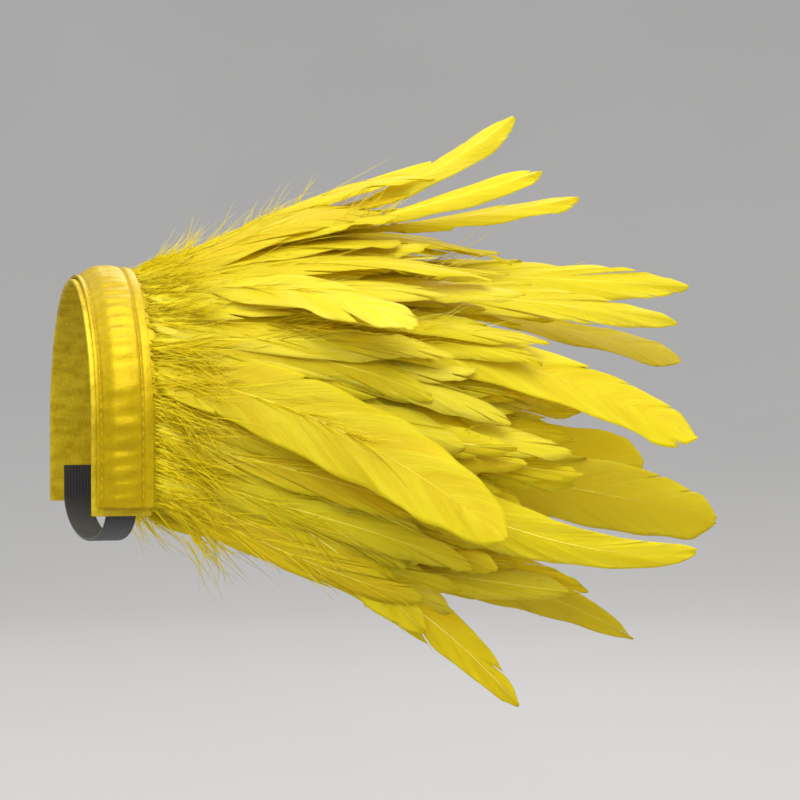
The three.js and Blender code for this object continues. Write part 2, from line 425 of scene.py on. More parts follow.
@dataclass(frozen=True)
class DownFinish:
    """Loose down: soft fibres, deep at the root and pale at the tip."""

    root: Colour = (0.95, 0.79, 0.01, 1.0)
    middle: Colour = (0.97, 0.88, 0.022, 1.0)
    tip: Colour = (0.97, 0.93, 0.28, 1.0)
    glow: Colour = (0.99, 0.9, 0.05, 1.0)
    through: float = 0.68
    streak_cells: float = 3.0
    feather_shift: float = 90.0
    tone_share: float = 0.6
    streak_share: float = 0.4
    middle_over: tuple[float, float] = (0.0, 0.4)
    middle_share: float = 0.4
    middle_light: tuple[float, float] = (0.2, 0.7)
    light_share: float = 0.6
    tip_over: tuple[float, float] = (0.4, 1.0)
    tip_light: tuple[float, float] = (0.2, 0.8)
    streak_rough: float = 0.2
    roughness: float = 0.6
    specular: float = 0.25
    sheen: float = 0.2
    sheen_roughness: float = 0.5

    def material(self) -> bpy.types.Material:
        """Builds the finish.

        Returns:
            The material.
        """
        shader = Shader("feather_down")
        along = shader.marks()[1]
        paleness, _, number = shader.tones()
        streaks = shader.noise(along * self.streak_cells, number * self.feather_shift, 0.0, 1.0)
        light = paleness * self.tone_share + streaks * self.streak_share
        lower = along.ramp(*self.middle_over) * self.middle_share
        lower = lower + light.ramp(*self.middle_light) * self.light_share
        base = shader.mix(lower, self.root, self.middle)
        upper = along.ramp(*self.tip_over) * light.ramp(*self.tip_light)
        base = shader.mix(upper, base, self.tip)
        skin = shader.surface({
            "Base Color": base,
            "Roughness": self.roughness + self.streak_rough * streaks,
            "Specular IOR Level": self.specular,
            "Sheen Weight": self.sheen,
            "Sheen Roughness": self.sheen_roughness,
            "Sheen Tint": self.tip,
        })
        return shader.finish(shader.lit_through(skin, self.glow, self.through))


@dataclass(frozen=True)
class SatinFinish:
    """Satin: long glossy floats with a fine weave and a soft crumple; the crumple is raised as bumps,
    and its light and shade are also painted into the colour.
    """

    name: str
    shade: Colour = (0.4, 0.26, 0.002, 1.0)
    light: Colour = (0.56, 0.4, 0.003, 1.0)
    tint: Colour = (1.0, 0.86, 0.22, 1.0)
    roughness: float = 0.3
    metallic: float = 0.3
    specular: float = 0.5
    stretch: float = 0.4
    relief: float = 0.0007
    threads_per_mm: float = 3.2
    floats_per_mm: float = 0.35
    picks_per_mm: float = 0.5
    crumples_per_mm: tuple[float, float] = (0.16, 0.3)
    float_share: float = 0.6
    pick_share: float = 0.4
    weave_contrast: tuple[float, float] = (0.25, 0.75)
    weave_light: float = 0.5
    crumple_contrast: tuple[float, float] = (0.3, 0.7)
    crumple_painted_light: float = 0.4
    weave_rough: float = 0.16
    weave_height: float = 0.35
    crumple_height: float = 0.6
    raised: float = 0.5

    def material(self) -> bpy.types.Material:
        """Builds the finish.

        Returns:
            The material.
        """
        shader = Shader(self.name)
        across, along = shader.marks()
        wide, long = self.crumples_per_mm
        floats = shader.noise(across * self.threads_per_mm, along * self.floats_per_mm, 0.2, 2.0)
        picks = shader.noise(across * self.picks_per_mm, along * self.threads_per_mm, 4.2, 2.0)
        crumple = shader.noise(across * wide, along * long, 8.2, 2.0)
        weave = floats * self.float_share + picks * self.pick_share
        lightness = weave.ramp(*self.weave_contrast) * self.weave_light
        # painted light and shade: the colour lightens and darkens with the crumple, as its folds would
        # be lit and shaded
        lightness = lightness + crumple.ramp(*self.crumple_contrast) * self.crumple_painted_light
        base = shader.mix(lightness, self.shade, self.light)
        height = weave * self.weave_height + crumple * self.crumple_height
        skin = shader.surface({
            "Base Color": base,
            "Roughness": self.roughness + self.weave_rough * weave,
            "Metallic": self.metallic,
            "Specular IOR Level": self.specular,
            "Specular Tint": self.tint,
            "Anisotropic": self.stretch,
            "Normal": shader.bump(height, self.raised, self.relief),
        })
        return shader.finish(skin)


@dataclass(frozen=True)
class ThreadFinish:
    """Twisted sewing thread."""

    shade: Colour = (0.4, 0.24, 0.003, 1.0)
    light: Colour = (0.66, 0.46, 0.01, 1.0)
    plies_per_m: float = 2600.0
    contrast: tuple[float, float] = (0.3, 0.7)
    ply_rough: float = 0.2
    raised: float = 0.4
    roughness: float = 0.45
    relief: float = 0.0002

    def material(self) -> bpy.types.Material:
        """Builds the finish.

        Returns:
            The material.
        """
        shader = Shader("thread")
        ply = shader.noise_at(shader.own_place(), self.plies_per_m, 1.0)
        skin = shader.surface({
            "Base Color": shader.mix(ply.ramp(*self.contrast), self.shade, self.light),
            "Roughness": self.roughness + self.ply_rough * ply,
            "Normal": shader.bump(ply, self.raised, self.relief),
        })
        return shader.finish(skin)


@dataclass(frozen=True)
class ElasticFinish:
    """Woven elastic: cords along the strap, crossed by a fine weft."""

    shade: Colour = (0.006, 0.006, 0.007, 1.0)
    light: Colour = (0.032, 0.032, 0.036, 1.0)
    cords_per_mm: float = 0.9
    wefts_per_mm: float = 1.6
    fuzz_per_mm: float = 3.0
    cord_share: float = 0.6
    weft_share: float = 0.25
    fuzz_share: float = 0.15
    fuzz_rough: float = 0.15
    raised: float = 0.6
    roughness: float = 0.72
    sheen: float = 0.15
    relief: float = 0.0004

    def material(self) -> bpy.types.Material:
        """Builds the finish.

        Returns:
            The material.
        """
        shader = Shader("woven_elastic")
        across, along = shader.marks()
        cords = (across * (2.0 * math.pi * self.cords_per_mm)).wave() * 0.5 + 0.5
        wefts = (along * (2.0 * math.pi * self.wefts_per_mm)).wave() * 0.5 + 0.5
        fuzz = shader.noise(across * self.fuzz_per_mm, along * self.fuzz_per_mm, 1.0, 2.0)
        weave = cords * self.cord_share + wefts * self.weft_share + fuzz * self.fuzz_share
        skin = shader.surface({
            "Base Color": shader.mix(weave, self.shade, self.light),
            "Roughness": self.roughness + self.fuzz_rough * fuzz,
            "Sheen Weight": self.sheen,
            "Normal": shader.bump(weave, self.raised, self.relief),
        })
        return shader.finish(skin)


@dataclass(frozen=True)
class StageFinish:
    """Matt pale backdrop paper."""

    shade: Colour = (0.41, 0.4, 0.39, 1.0)
    light: Colour = (0.44, 0.43, 0.42, 1.0)
    clouds_per_m: float = 3.0
    roughness: float = 0.9

    def material(self) -> bpy.types.Material:
        """Builds the finish.

        Returns:
            The material.
        """
        shader = Shader("backdrop_paper")
        cloud = shader.noise_at(shader.own_place(), self.clouds_per_m, 2.0)
        base = shader.mix(cloud, self.shade, self.light)
        return shader.finish(shader.surface({"Base Color": base, "Roughness": self.roughness}))


# Shapes that the sub-assemblies share


def vary(index: int, seed: int) -> float:
    """A repeatable spread of values from -1 to 1, the same as the solids use.

    Args:
        index: number of the feather in its row.
        seed: number of the row and of the value.

    Returns:
        The value.
    """
    per_index, per_seed, folds = VARY_STEPS
    wave = math.sin(index * per_index + seed * per_seed) * folds
    return 2.0 * (wave - math.floor(wave)) - 1.0


def unit(vectors: np.ndarray) -> np.ndarray:
    """Vectors scaled to a length of 1."""
    return vectors / np.maximum(np.linalg.norm(vectors, axis=-1, keepdims=True), 1e-9)


def eased(
    at: np.ndarray, places: tuple[float, ...], values: tuple[float, ...], width: float
) -> np.ndarray:
    """Reads a line drawn through points, with its corners rounded off.

    Args:
        at: where it is read.
        places: the points' places.
        values: the points' values.
        width: how far from a corner the rounding starts.

    Returns:
        The values.
    """
    shifts = np.linspace(-width, width, EASE_STEPS)
    return np.mean([np.interp(at + shift, places, values) for shift in shifts], axis=0)


def waves(
    at: np.ndarray, parts: tuple[tuple[float, float], ...], phases: np.ndarray, middle: float
) -> np.ndarray:
    """Sine waves laid over each other.

    Args:
        at: where they are read.
        parts: height and pace of each.
        phases: where each starts.
        middle: the value that they swing about.

    Returns:
        The values.
    """
    swings = (high * np.sin(at * pace + phase) for (high, pace), phase in zip(parts, phases))
    return sum(swings, middle)


def mesh_object(
    bm: bmesh.types.BMesh, name: str, finish: bpy.types.Material
) -> bpy.types.Object:
    """Makes a finished bmesh one smooth object.

    Args:
        bm: the bmesh, which is used up.
        name: the object's name.
        finish: its material.

    Returns:
        The object, not yet linked.
    """
    mesh = bpy.data.meshes.new(name)
    bm.to_mesh(mesh)
    bm.free()
    mesh.shade_smooth()
    mesh.materials.append(finish)
    return bpy.data.objects.new(name, mesh)


def place_piece(piece: bpy.types.Object, slot: Slot, *nodes: str) -> bpy.types.Object:
    """Links a piece, seats it on the frame and reports it.

    Args:
        piece: the piece's object.
        slot: the record's slot that its finish belongs to; not used.
        nodes: names of the solids that it stands for.

    Returns:
        The piece.
    """
    bpy.context.scene.collection.objects.link(piece)
    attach(piece, BODY)
    if nodes:
        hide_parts(*nodes)
    triangles = sum(len(face.vertices) - 2 for face in piece.data.polygons)
    LOG.info("%s: %d triangles", piece.name, triangles)
    return piece


@dataclass(frozen=True)
class Arch:
    """Line of the band over the shoulder, measured on its inner face, in millimetres."""

    radius: float
    leg: float

    @classmethod
    def from_frame(cls, thickness: float, tab: float) -> "Arch":
        """Reads the arch from the backing's solid.

        Args:
            thickness: the backing's thickness.
            tab: how far the backing stands past the facing at each end.

        Returns:
            The arch.
        """
        low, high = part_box("band_backing")
        radius = high.y / MM - thickness
        return cls(radius, -low.z / MM - radius - tab)

    @property
    def quarter(self) -> float:
        """Length of the round part from the crown to one leg."""
        return math.pi / 2.0 * self.radius

    @property
    def half_length(self) -> float:
        """Length from the crown to the facing's end."""
        return self.quarter + self.leg

    def frame(self, place: np.ndarray) -> tuple[np.ndarray, np.ndarray, np.ndarray]:
        """Directions of the arch at places along it.

        Args:
            place: distances from the crown, positive to the front.

        Returns:
            Points on the inner face, outward directions and directions along the band.
        """
        place = np.asarray(place, float)
        within = np.clip(place, -self.quarter, self.quarter)
        angle = within / self.radius
        zero = np.zeros_like(angle)
        outward = np.stack([zero, -np.sin(angle), np.cos(angle)], -1)
        along = np.stack([zero, -np.cos(angle), -np.sin(angle)], -1)
        point = outward * self.radius + along * (place - within)[..., None]
        point[..., 2] -= self.radius
        return point, outward, along

    def on(self, place: np.ndarray, height: np.ndarray, across: np.ndarray) -> np.ndarray:
        """Points over the arch.

        Args:
            place: distances from the crown.
            height: heights over the inner face.
            across: places across the band.

        Returns:
            The points.
        """
        point, outward, _ = self.frame(place)
        point = point + outward * np.asarray(height, float)[..., None]
        point[..., 0] = across
        return point

    def cover(self, low: float, high: float, height: Height) -> Shape:
        """Shape of a strip that lies along the arch.

        Args:
            low: place across the band of its edge on the neck side.
            high: place across the band of its edge on the arm side.
            height: height of its outer face, from places along the arch and across it.

        Returns:
            What gives points and marks from places along the arch and shares across the strip.
        """

        def shape(place: np.ndarray, share: np.ndarray) -> tuple[np.ndarray, np.ndarray]:
            """Points and marks of the strip's outer face."""
            across = low + (high - low) * share
            return self.on(place, height(place, across), across), np.stack([across, place], -1)

        return shape


def level(height: float) -> Height:
    """A height that is the same all over a strip."""
    return lambda place, across: np.full_like(place, height)


@dataclass(frozen=True)
class Strip:
    """A strip of cloth on the arch, made as a grid that is bent over it, in millimetres."""

    name: str
    half_length: float
    step: float
    columns: int
    thickness: float
    edge: float

    def build(self, shape: Shape, finish: bpy.types.Material) -> bpy.types.Object:
        """Bends a grid to the strip's shape and gives it its thickness.

        Args:
            shape: gives points in millimetres and marks from places along and shares across.
            finish: the strip's material.

        Returns:
            The strip's object, not yet linked.
        """
        bm = bmesh.new()
        rows = round(2.0 * self.half_length / self.step)
        bmesh.ops.create_grid(bm, x_segments=rows, y_segments=self.columns, size=1.0)
        grid = np.array([vertex.co for vertex in bm.verts])
        points, marks = shape(grid[:, 0] * self.half_length, grid[:, 1] * 0.5 + 0.5)
        layer = bm.loops.layers.uv.new("marks")
        for face in bm.faces:
            for loop in face.loops:
                loop[layer].uv = marks[loop.vert.index]
        for vertex, point in zip(bm.verts, points):
            vertex.co = point * MM
        piece = mesh_object(bm, self.name, finish)
        wall = piece.modifiers.new("wall", "SOLIDIFY")
        wall.thickness = self.thickness * MM
        wall.offset = -1.0
        hem = piece.modifiers.new("hem", "BEVEL")
        hem.width = self.edge * MM
        hem.segments = 2
        hem.limit_method = "ANGLE"
        return piece


class Sheaf:
    """Gathers many small closed forms into the arrays of one mesh, in millimetres."""

    def __init__(self) -> None:
        """Starts with nothing gathered."""
        self.points: list[np.ndarray] = []
        self.quads: list[np.ndarray] = []
        self.triangles: list[np.ndarray] = []
        self.marks: list[np.ndarray] = []
        self.tones: list[np.ndarray] = []
        self.quad_finish: list[np.ndarray] = []
        self.triangle_finish: list[np.ndarray] = []
        self.count = 0

    def add(
        self,
        points: np.ndarray,
        quads: np.ndarray,
        triangles: np.ndarray,
        marks: np.ndarray,
        tones: np.ndarray,
        finish: int = 0,
    ) -> None:
        """Adds one form, or many alike.

        Args:
            points: its points.
            quads: its four-sided faces, as places in points.
            triangles: its three-sided faces.
            marks: place across and along the surface, for each point.
            tones: paleness, olive cast (painted shade) and number of the feather, for each point.
            finish: place of its material in the mesh's list.
        """
        self.points.append(points)
        self.quads.append(quads.reshape(-1, 4) + self.count)
        self.triangles.append(triangles.reshape(-1, 3) + self.count)
        self.marks.append(marks)
        self.tones.append(np.broadcast_to(tones, (len(points), 3)))
        self.quad_finish.append(np.full(len(self.quads[-1]), finish))
        self.triangle_finish.append(np.full(len(self.triangles[-1]), finish))
        self.count += len(points)

    def to_object(
        self, name: str, finishes: list[bpy.types.Material], smooth: bool = True
    ) -> bpy.types.Object:
        """Makes the gathered forms one mesh object.

        Args:
            name: the piece's name.
            finishes: its materials.
            smooth: whether its faces are shaded as one round surface.

        Returns:
            The object, not yet linked.
        """
        quads, triangles = np.concatenate(self.quads), np.concatenate(self.triangles)
        corners = np.concatenate([quads.ravel(), triangles.ravel()])
        sides = np.concatenate([np.full(len(quads), 4), np.full(len(triangles), 3)])
        mesh = bpy.data.meshes.new(name)
        mesh.vertices.add(self.count)
        mesh.vertices.foreach_set("co", (np.concatenate(self.points) * MM).ravel())
        mesh.loops.add(len(corners))
        mesh.loops.foreach_set("vertex_index", corners.astype(np.int32))
        mesh.polygons.add(len(sides))
        starts = np.concatenate([[0], np.cumsum(sides)[:-1]])
        mesh.polygons.foreach_set("loop_start", starts.astype(np.int32))
        chosen = np.concatenate(self.quad_finish + self.triangle_finish)
        mesh.polygons.foreach_set("material_index", chosen.astype(np.int32))
        layer = mesh.uv_layers.new(name="marks")
        layer.data.foreach_set("uv", np.concatenate(self.marks)[corners].ravel())
        tone = mesh.attributes.new("tone", "FLOAT_VECTOR", "POINT")
        tone.data.foreach_set("vector", np.concatenate(self.tones).ravel())
        mesh.update(calc_edges=True)
        if smooth:
            mesh.shade_smooth()
        for finish in finishes:
            mesh.materials.append(finish)
        return bpy.data.objects.new(name, mesh)


def closed_sheet(
    points: np.ndarray, quads: np.ndarray, normals: np.ndarray, half: np.ndarray
) -> tuple[np.ndarray, np.ndarray]:
    """Closes a sheet to a thin shell, with a wall along each of its edges.

    Args:
        points: the sheet's points.
        quads: its faces, seen anticlockwise from its outer side.
        normals: outward direction at each point.
        half: half the thickness at each point.

    Returns:
        The shell's points and its faces.
    """
    count = len(points)
    both = np.concatenate([points + normals * half[:, None], points - normals * half[:, None]])
    edges = np.concatenate([quads[:, [0, 1]], quads[:, [1, 2]], quads[:, [2, 3]], quads[:, [3, 0]]])
    low, high = edges.min(axis=1), edges.max(axis=1)
    _, first, uses = np.unique(low * count + high, return_index=True, return_counts=True)
    rim = edges[first[uses == 1]]
    walls = np.stack([rim[:, 1], rim[:, 0], rim[:, 0] + count, rim[:, 1] + count], axis=1)
    return both, np.concatenate([quads, quads[:, ::-1] + count, walls])


def tube_faces(forms: int, rings: int, sides: int, pointed: bool) -> tuple[np.ndarray, np.ndarray]:
    """Faces of tubes whose rings follow each other in one array, each with flat or pointed ends.

    Args:
        forms: number of tubes.
        rings: number of rings in a tube.
        sides: number of points in a ring.
        pointed: whether a tube ends in one point after its last ring.

    Returns:
        The four-sided and the three-sided faces.
    """
    size = rings * sides + (1 if pointed else 0)
    ring, side = np.meshgrid(np.arange(rings - 1), np.arange(sides), indexing="ij")
    here, there = ring * sides + side, ring * sides + (side + 1) % sides
    quads = np.stack([here, there, there + sides, here + sides], -1).reshape(-1, 4)
    corner = np.arange(1, sides - 1)
    start = np.stack([np.zeros_like(corner), corner + 1, corner], -1)
    last = (rings - 1) * sides
    if pointed:
        turn = np.arange(sides)
        end = np.stack([last + turn, last + (turn + 1) % sides, np.full(sides, last + sides)], -1)
    else:
        end = last + np.stack([np.zeros_like(corner), corner, corner + 1], -1)
    caps = np.concatenate([start, end])
    offset = (np.arange(forms) * size)[:, None, None]
    return (quads[None] + offset).reshape(-1, 4), (caps[None] + offset).reshape(-1, 3)


@dataclass(frozen=True)
class Fibre:
    """Build of a loose fibre: radius at its root and thickness as a share of it, in millimetres."""

    radius: float
    rings: int
    flatness: float = 0.55
    taper: float = 0.75


def add_strands(
    sheaf: Sheaf,
    fibre: Fibre,
    roots: np.ndarray,
    heads: np.ndarray,
    bends: np.ndarray,
    lengths: np.ndarray,
    faces_to: np.ndarray,
    tones: np.ndarray,
) -> None:
    """Adds curved fibres, each a flat three-sided tube that tapers to a point.

    Args:
        sheaf: what they go to.
        fibre: their build.
        roots: where they start.
        heads: directions in which they start.
        bends: how far they have bent at their tips, as shares of their lengths.
        lengths: their lengths.
        faces_to: directions that their flat sides face.
        tones: paleness, olive cast (painted shade) and number of each.
    """
    share = np.linspace(0.0, 1.0, fibre.rings + 1)[None, :, None]
    heads = unit(heads)
    reach = lengths[:, None, None]
    centre = roots[:, None] + reach * (heads[:, None] * share + bends[:, None] * share**2)
    heading = unit(heads[:, None] + 2.0 * bends[:, None] * share)
    side = unit(np.cross(faces_to[:, None] + TINY, heading))
    over = np.cross(heading, side) * fibre.flatness
    thick = (fibre.radius * (1.0 - fibre.taper * share))[..., None]
    corner = STRAND_CORNERS[:, None]
    around = side[:, :, None] * np.cos(corner) + over[:, :, None] * np.sin(corner)
    ring_points = (centre[:, :, None] + around * thick)[:, : fibre.rings].reshape(len(roots), -1, 3)
    points = np.concatenate([ring_points, centre[:, -1:]], axis=1)
    quads, triangles = tube_faces(len(roots), fibre.rings, 3, pointed=True)
    along = np.append(np.repeat(share[0, : fibre.rings, 0], 3), 1.0)
    marks = np.tile(np.stack([np.zeros_like(along), along], -1), (len(roots), 1))
    sheaf.add(points.reshape(-1, 3), quads, triangles, marks, np.repeat(tones, points.shape[1], 0))


# Feather trim


class Tip(Enum):
    """Outline of a vane: shares of the feather's length, and shares of its half-width there."""

    BLUNT = (
        (0.0, 0.12, 0.38, 0.72, 0.84, 0.91, 0.96, 0.99, 1.0),
        (0.3, 0.56, 0.88, 1.0, 0.98, 0.9, 0.76, 0.58, 0.45),
    )
    STRAP = (
        (0.0, 0.12, 0.4, 0.62, 0.84, 0.93, 0.98, 1.0),
        (0.2, 0.36, 0.52, 0.68, 1.0, 0.92, 0.66, 0.45),
    )
    LANCE = (
        (0.0, 0.1, 0.3, 0.6, 0.8, 0.92, 0.98, 1.0),
        (0.34, 0.62, 0.92, 1.0, 0.88, 0.6, 0.34, 0.16),
    )
    HOOK = (
        (0.0, 0.1, 0.3, 0.5, 0.66, 0.8, 0.92, 1.0),
        (0.28, 0.55, 0.92, 1.0, 0.84, 0.56, 0.38, 0.24),
    )


@dataclass(frozen=True)
class Loose:
    """Barbs that have come away from a vane, in shares of the shaft and millimetres.

    stand and aside say how far they turn out of the vane and across it, each times its range, crown how
    many turn to the crown, droop how far they bend back and pale how much paler they are.
    """

    count: int = 14
    stand: float = 0.15
    crown: float = 0.5
    aside: float = 0.4
    span: tuple[float, float] = (0.08, 0.6)
    length: tuple[float, float] = (12.0, 30.0)
    stand_range: tuple[float, float] = (0.3, 1.8)
    aside_range: tuple[float, float] = (0.1, 1.0)
    droop: tuple[float, float] = (-0.22, 0.02)
    bend: float = 0.07
    over_shaft: float = 0.1
    pale: float = 0.3


@dataclass(frozen=True)
class Scatter:
    """How fine loose fibres are scattered over a shaft.

    start and span are shares of the shaft, and a crowd over 1 draws the fibres towards the start. aside
    is the range of their turn across the shaft, stand the middle and the spread of their turn out of its
    flat side, bend how unevenly they curve, and length their range of lengths.
    """

    start: float
    span: float
    crowd: float
    aside: tuple[float, float]
    stand: tuple[float, float]
    bend: float
    length: tuple[float, float]

    def places(self, rng: np.random.Generator, count: int) -> np.ndarray:
        """Shares of the shaft where fibres start."""
        return self.start + self.span * rng.random(count) ** self.crowd


@dataclass(frozen=True)
class Feather:
    """One feather, in millimetres and degrees.

    root is its place on the band from the crown, positive to the front. out, front and up say where its
    tip is, flick how far the tip turns up and turn how far it rolls about its shaft. splits counts the
    deep splits on each side. quill says how pale the shaft is, silk how far the barbs are swept along it
    and camber how far the vane's edges bend down.
    """

    root: float
    out: float
    front: float
    up: float
    flick: float
    width: float
    turn: float
    tone: Tone = Tone.LEMON
    splits: int = 1
    loose: Loose = Loose()
    quill: float = 0.15
    tip: Tip = Tip.BLUNT
    silk: float = 1.0
    camber: float = 0.14


@dataclass(frozen=True)
class Spread:
    """Strips of one size spread evenly along a row, in millimetres, degrees and shares of the length.

    rise is their slope, spread how far they fan out to the row's ends, sag how far they droop and tuck
    how far they lie in towards the arm. Each strip is filled by a few narrow feathers, and by a tuft of
    down where it has fibres.
    """

    count: int
    length: float
    rise: float
    width: float
    spread: float
    sag: float
    feathers: int = 0
    fibres: int = 0
    tuck: float = 0.0
    shift: float = 0.0


class Shaft:
    """Curve of one feather, with the directions across it and out of its flat side."""

    SAMPLES = 80

    def __init__(self, ends: np.ndarray, across: np.ndarray, turn: float) -> None:
        """Works the curve out.

        Args:
            ends: the four points that shape the curve.
            across: direction along the band at its root.
            turn: roll about the shaft at its tip, in degrees.
        """
        self.share = np.linspace(0.0, 1.0, self.SAMPLES)
        t = self.share[:, None]
        weights = [(1 - t) ** 3, 3 * t * (1 - t) ** 2, 3 * t**2 * (1 - t), t**3]
        self.centre = sum(weight * end for weight, end in zip(weights, ends))
        slopes = [(1 - t) ** 2, 2 * t * (1 - t), t**2]
        self.heading = unit(sum(slope * leg for slope, leg in zip(slopes, np.diff(ends, axis=0))))
        level = unit(across - self.heading * (self.heading @ across)[:, None])
        roll = math.radians(turn) * t
        self.across = level * np.cos(roll) + np.cross(self.heading, level) * np.sin(roll)
        self.normal = np.cross(self.across, self.heading)
        self.length = float(np.linalg.norm(np.diff(self.centre, axis=0), axis=1).sum())

    def read(self, table: np.ndarray, share: np.ndarray) -> np.ndarray:
        """Values of a table at shares of the length."""
        return np.stack([np.interp(share, self.share, table[:, i]) for i in range(3)], -1)

    def at(self, share: np.ndarray, aside: np.ndarray, height: np.ndarray) -> np.ndarray:
        """Points beside the shaft.

        Args:
            share: shares of the length; past 1 the curve runs straight on.
            aside: distances across it.
            height: distances out of its flat side.

        Returns:
            The points.
        """
        beyond = np.maximum(share - 1.0, 0.0)[..., None] * self.length
        point = self.read(self.centre, share) + self.heading[-1] * beyond
        point = point + self.read(self.across, share) * np.asarray(aside, float)[..., None]
        return point + self.read(self.normal, share) * np.asarray(height, float)[..., None]

    def leaning(self, share: np.ndarray, aside: np.ndarray, stand: np.ndarray) -> np.ndarray:
        """Directions that turn away from the shaft.

        Args:
            share: shares of the length.
            aside: how far they turn across it.
            stand: how far they turn out of its flat side.

        Returns:
            The directions, of any length.
        """
        head = self.read(self.heading, share) + self.read(self.across, share) * aside[:, None]
        return head + self.read(self.normal, share) * stand[:, None]


@dataclass(frozen=True)
class VaneForm:
    """Build of a vane: millimetres, and shares of the feather's length and half-width."""

    row_pitch: float
    columns: tuple[float, ...]
    least_rows: int = 18
    start: float = 0.01
    end: float = 0.998
    tip_round: float = 0.035
    lean: float = 0.13
    lean_open: float = 0.15
    lean_full: float = 0.4
    sweep_bow: float = 1.25
    aside_bow: float = 0.94
    tip_from: float = 0.72
    tip_bow: tuple[float, float] = (0.8, 1.3)
    side_width: tuple[float, float] = (0.92, 1.06)
    tilt: tuple[float, float] = (0.02, 0.05)
    half_thickness: float = 0.13
    edge_thinning: float = 0.6
    edge_waves: tuple[tuple[float, float], ...] = ((0.035, 21.0), (0.025, 45.0))
    lock_rows: tuple[int, int] = (7, 20)
    lock_lift: float = 0.4
    ripple: float = 1.0
    ripple_waves: tuple[tuple[float, float], ...] = ((0.5, 15.0), (0.3, 29.0))
    notch_share: float = 0.3
    notch_gap: tuple[float, float] = (0.3, 0.8)
    notch_point: float = 0.05
    split_gap: tuple[float, float] = (0.6, 2.2)
    split_fade: float = 7.0
    split_point: float = 0.2
    split_meet: float = 0.45
    point_rows: float = 2.2
    tone_vary: float = 0.12


@dataclass(frozen=True)
class QuillForm:
    """Build of a quill, in millimetres and shares of the feather's length."""

    sides: int = 5
    rings: int = 18
    end: float = 0.97
    tip_radius: float = 0.15
    root_radius: float = 0.0014
    thinning: float = 1.2


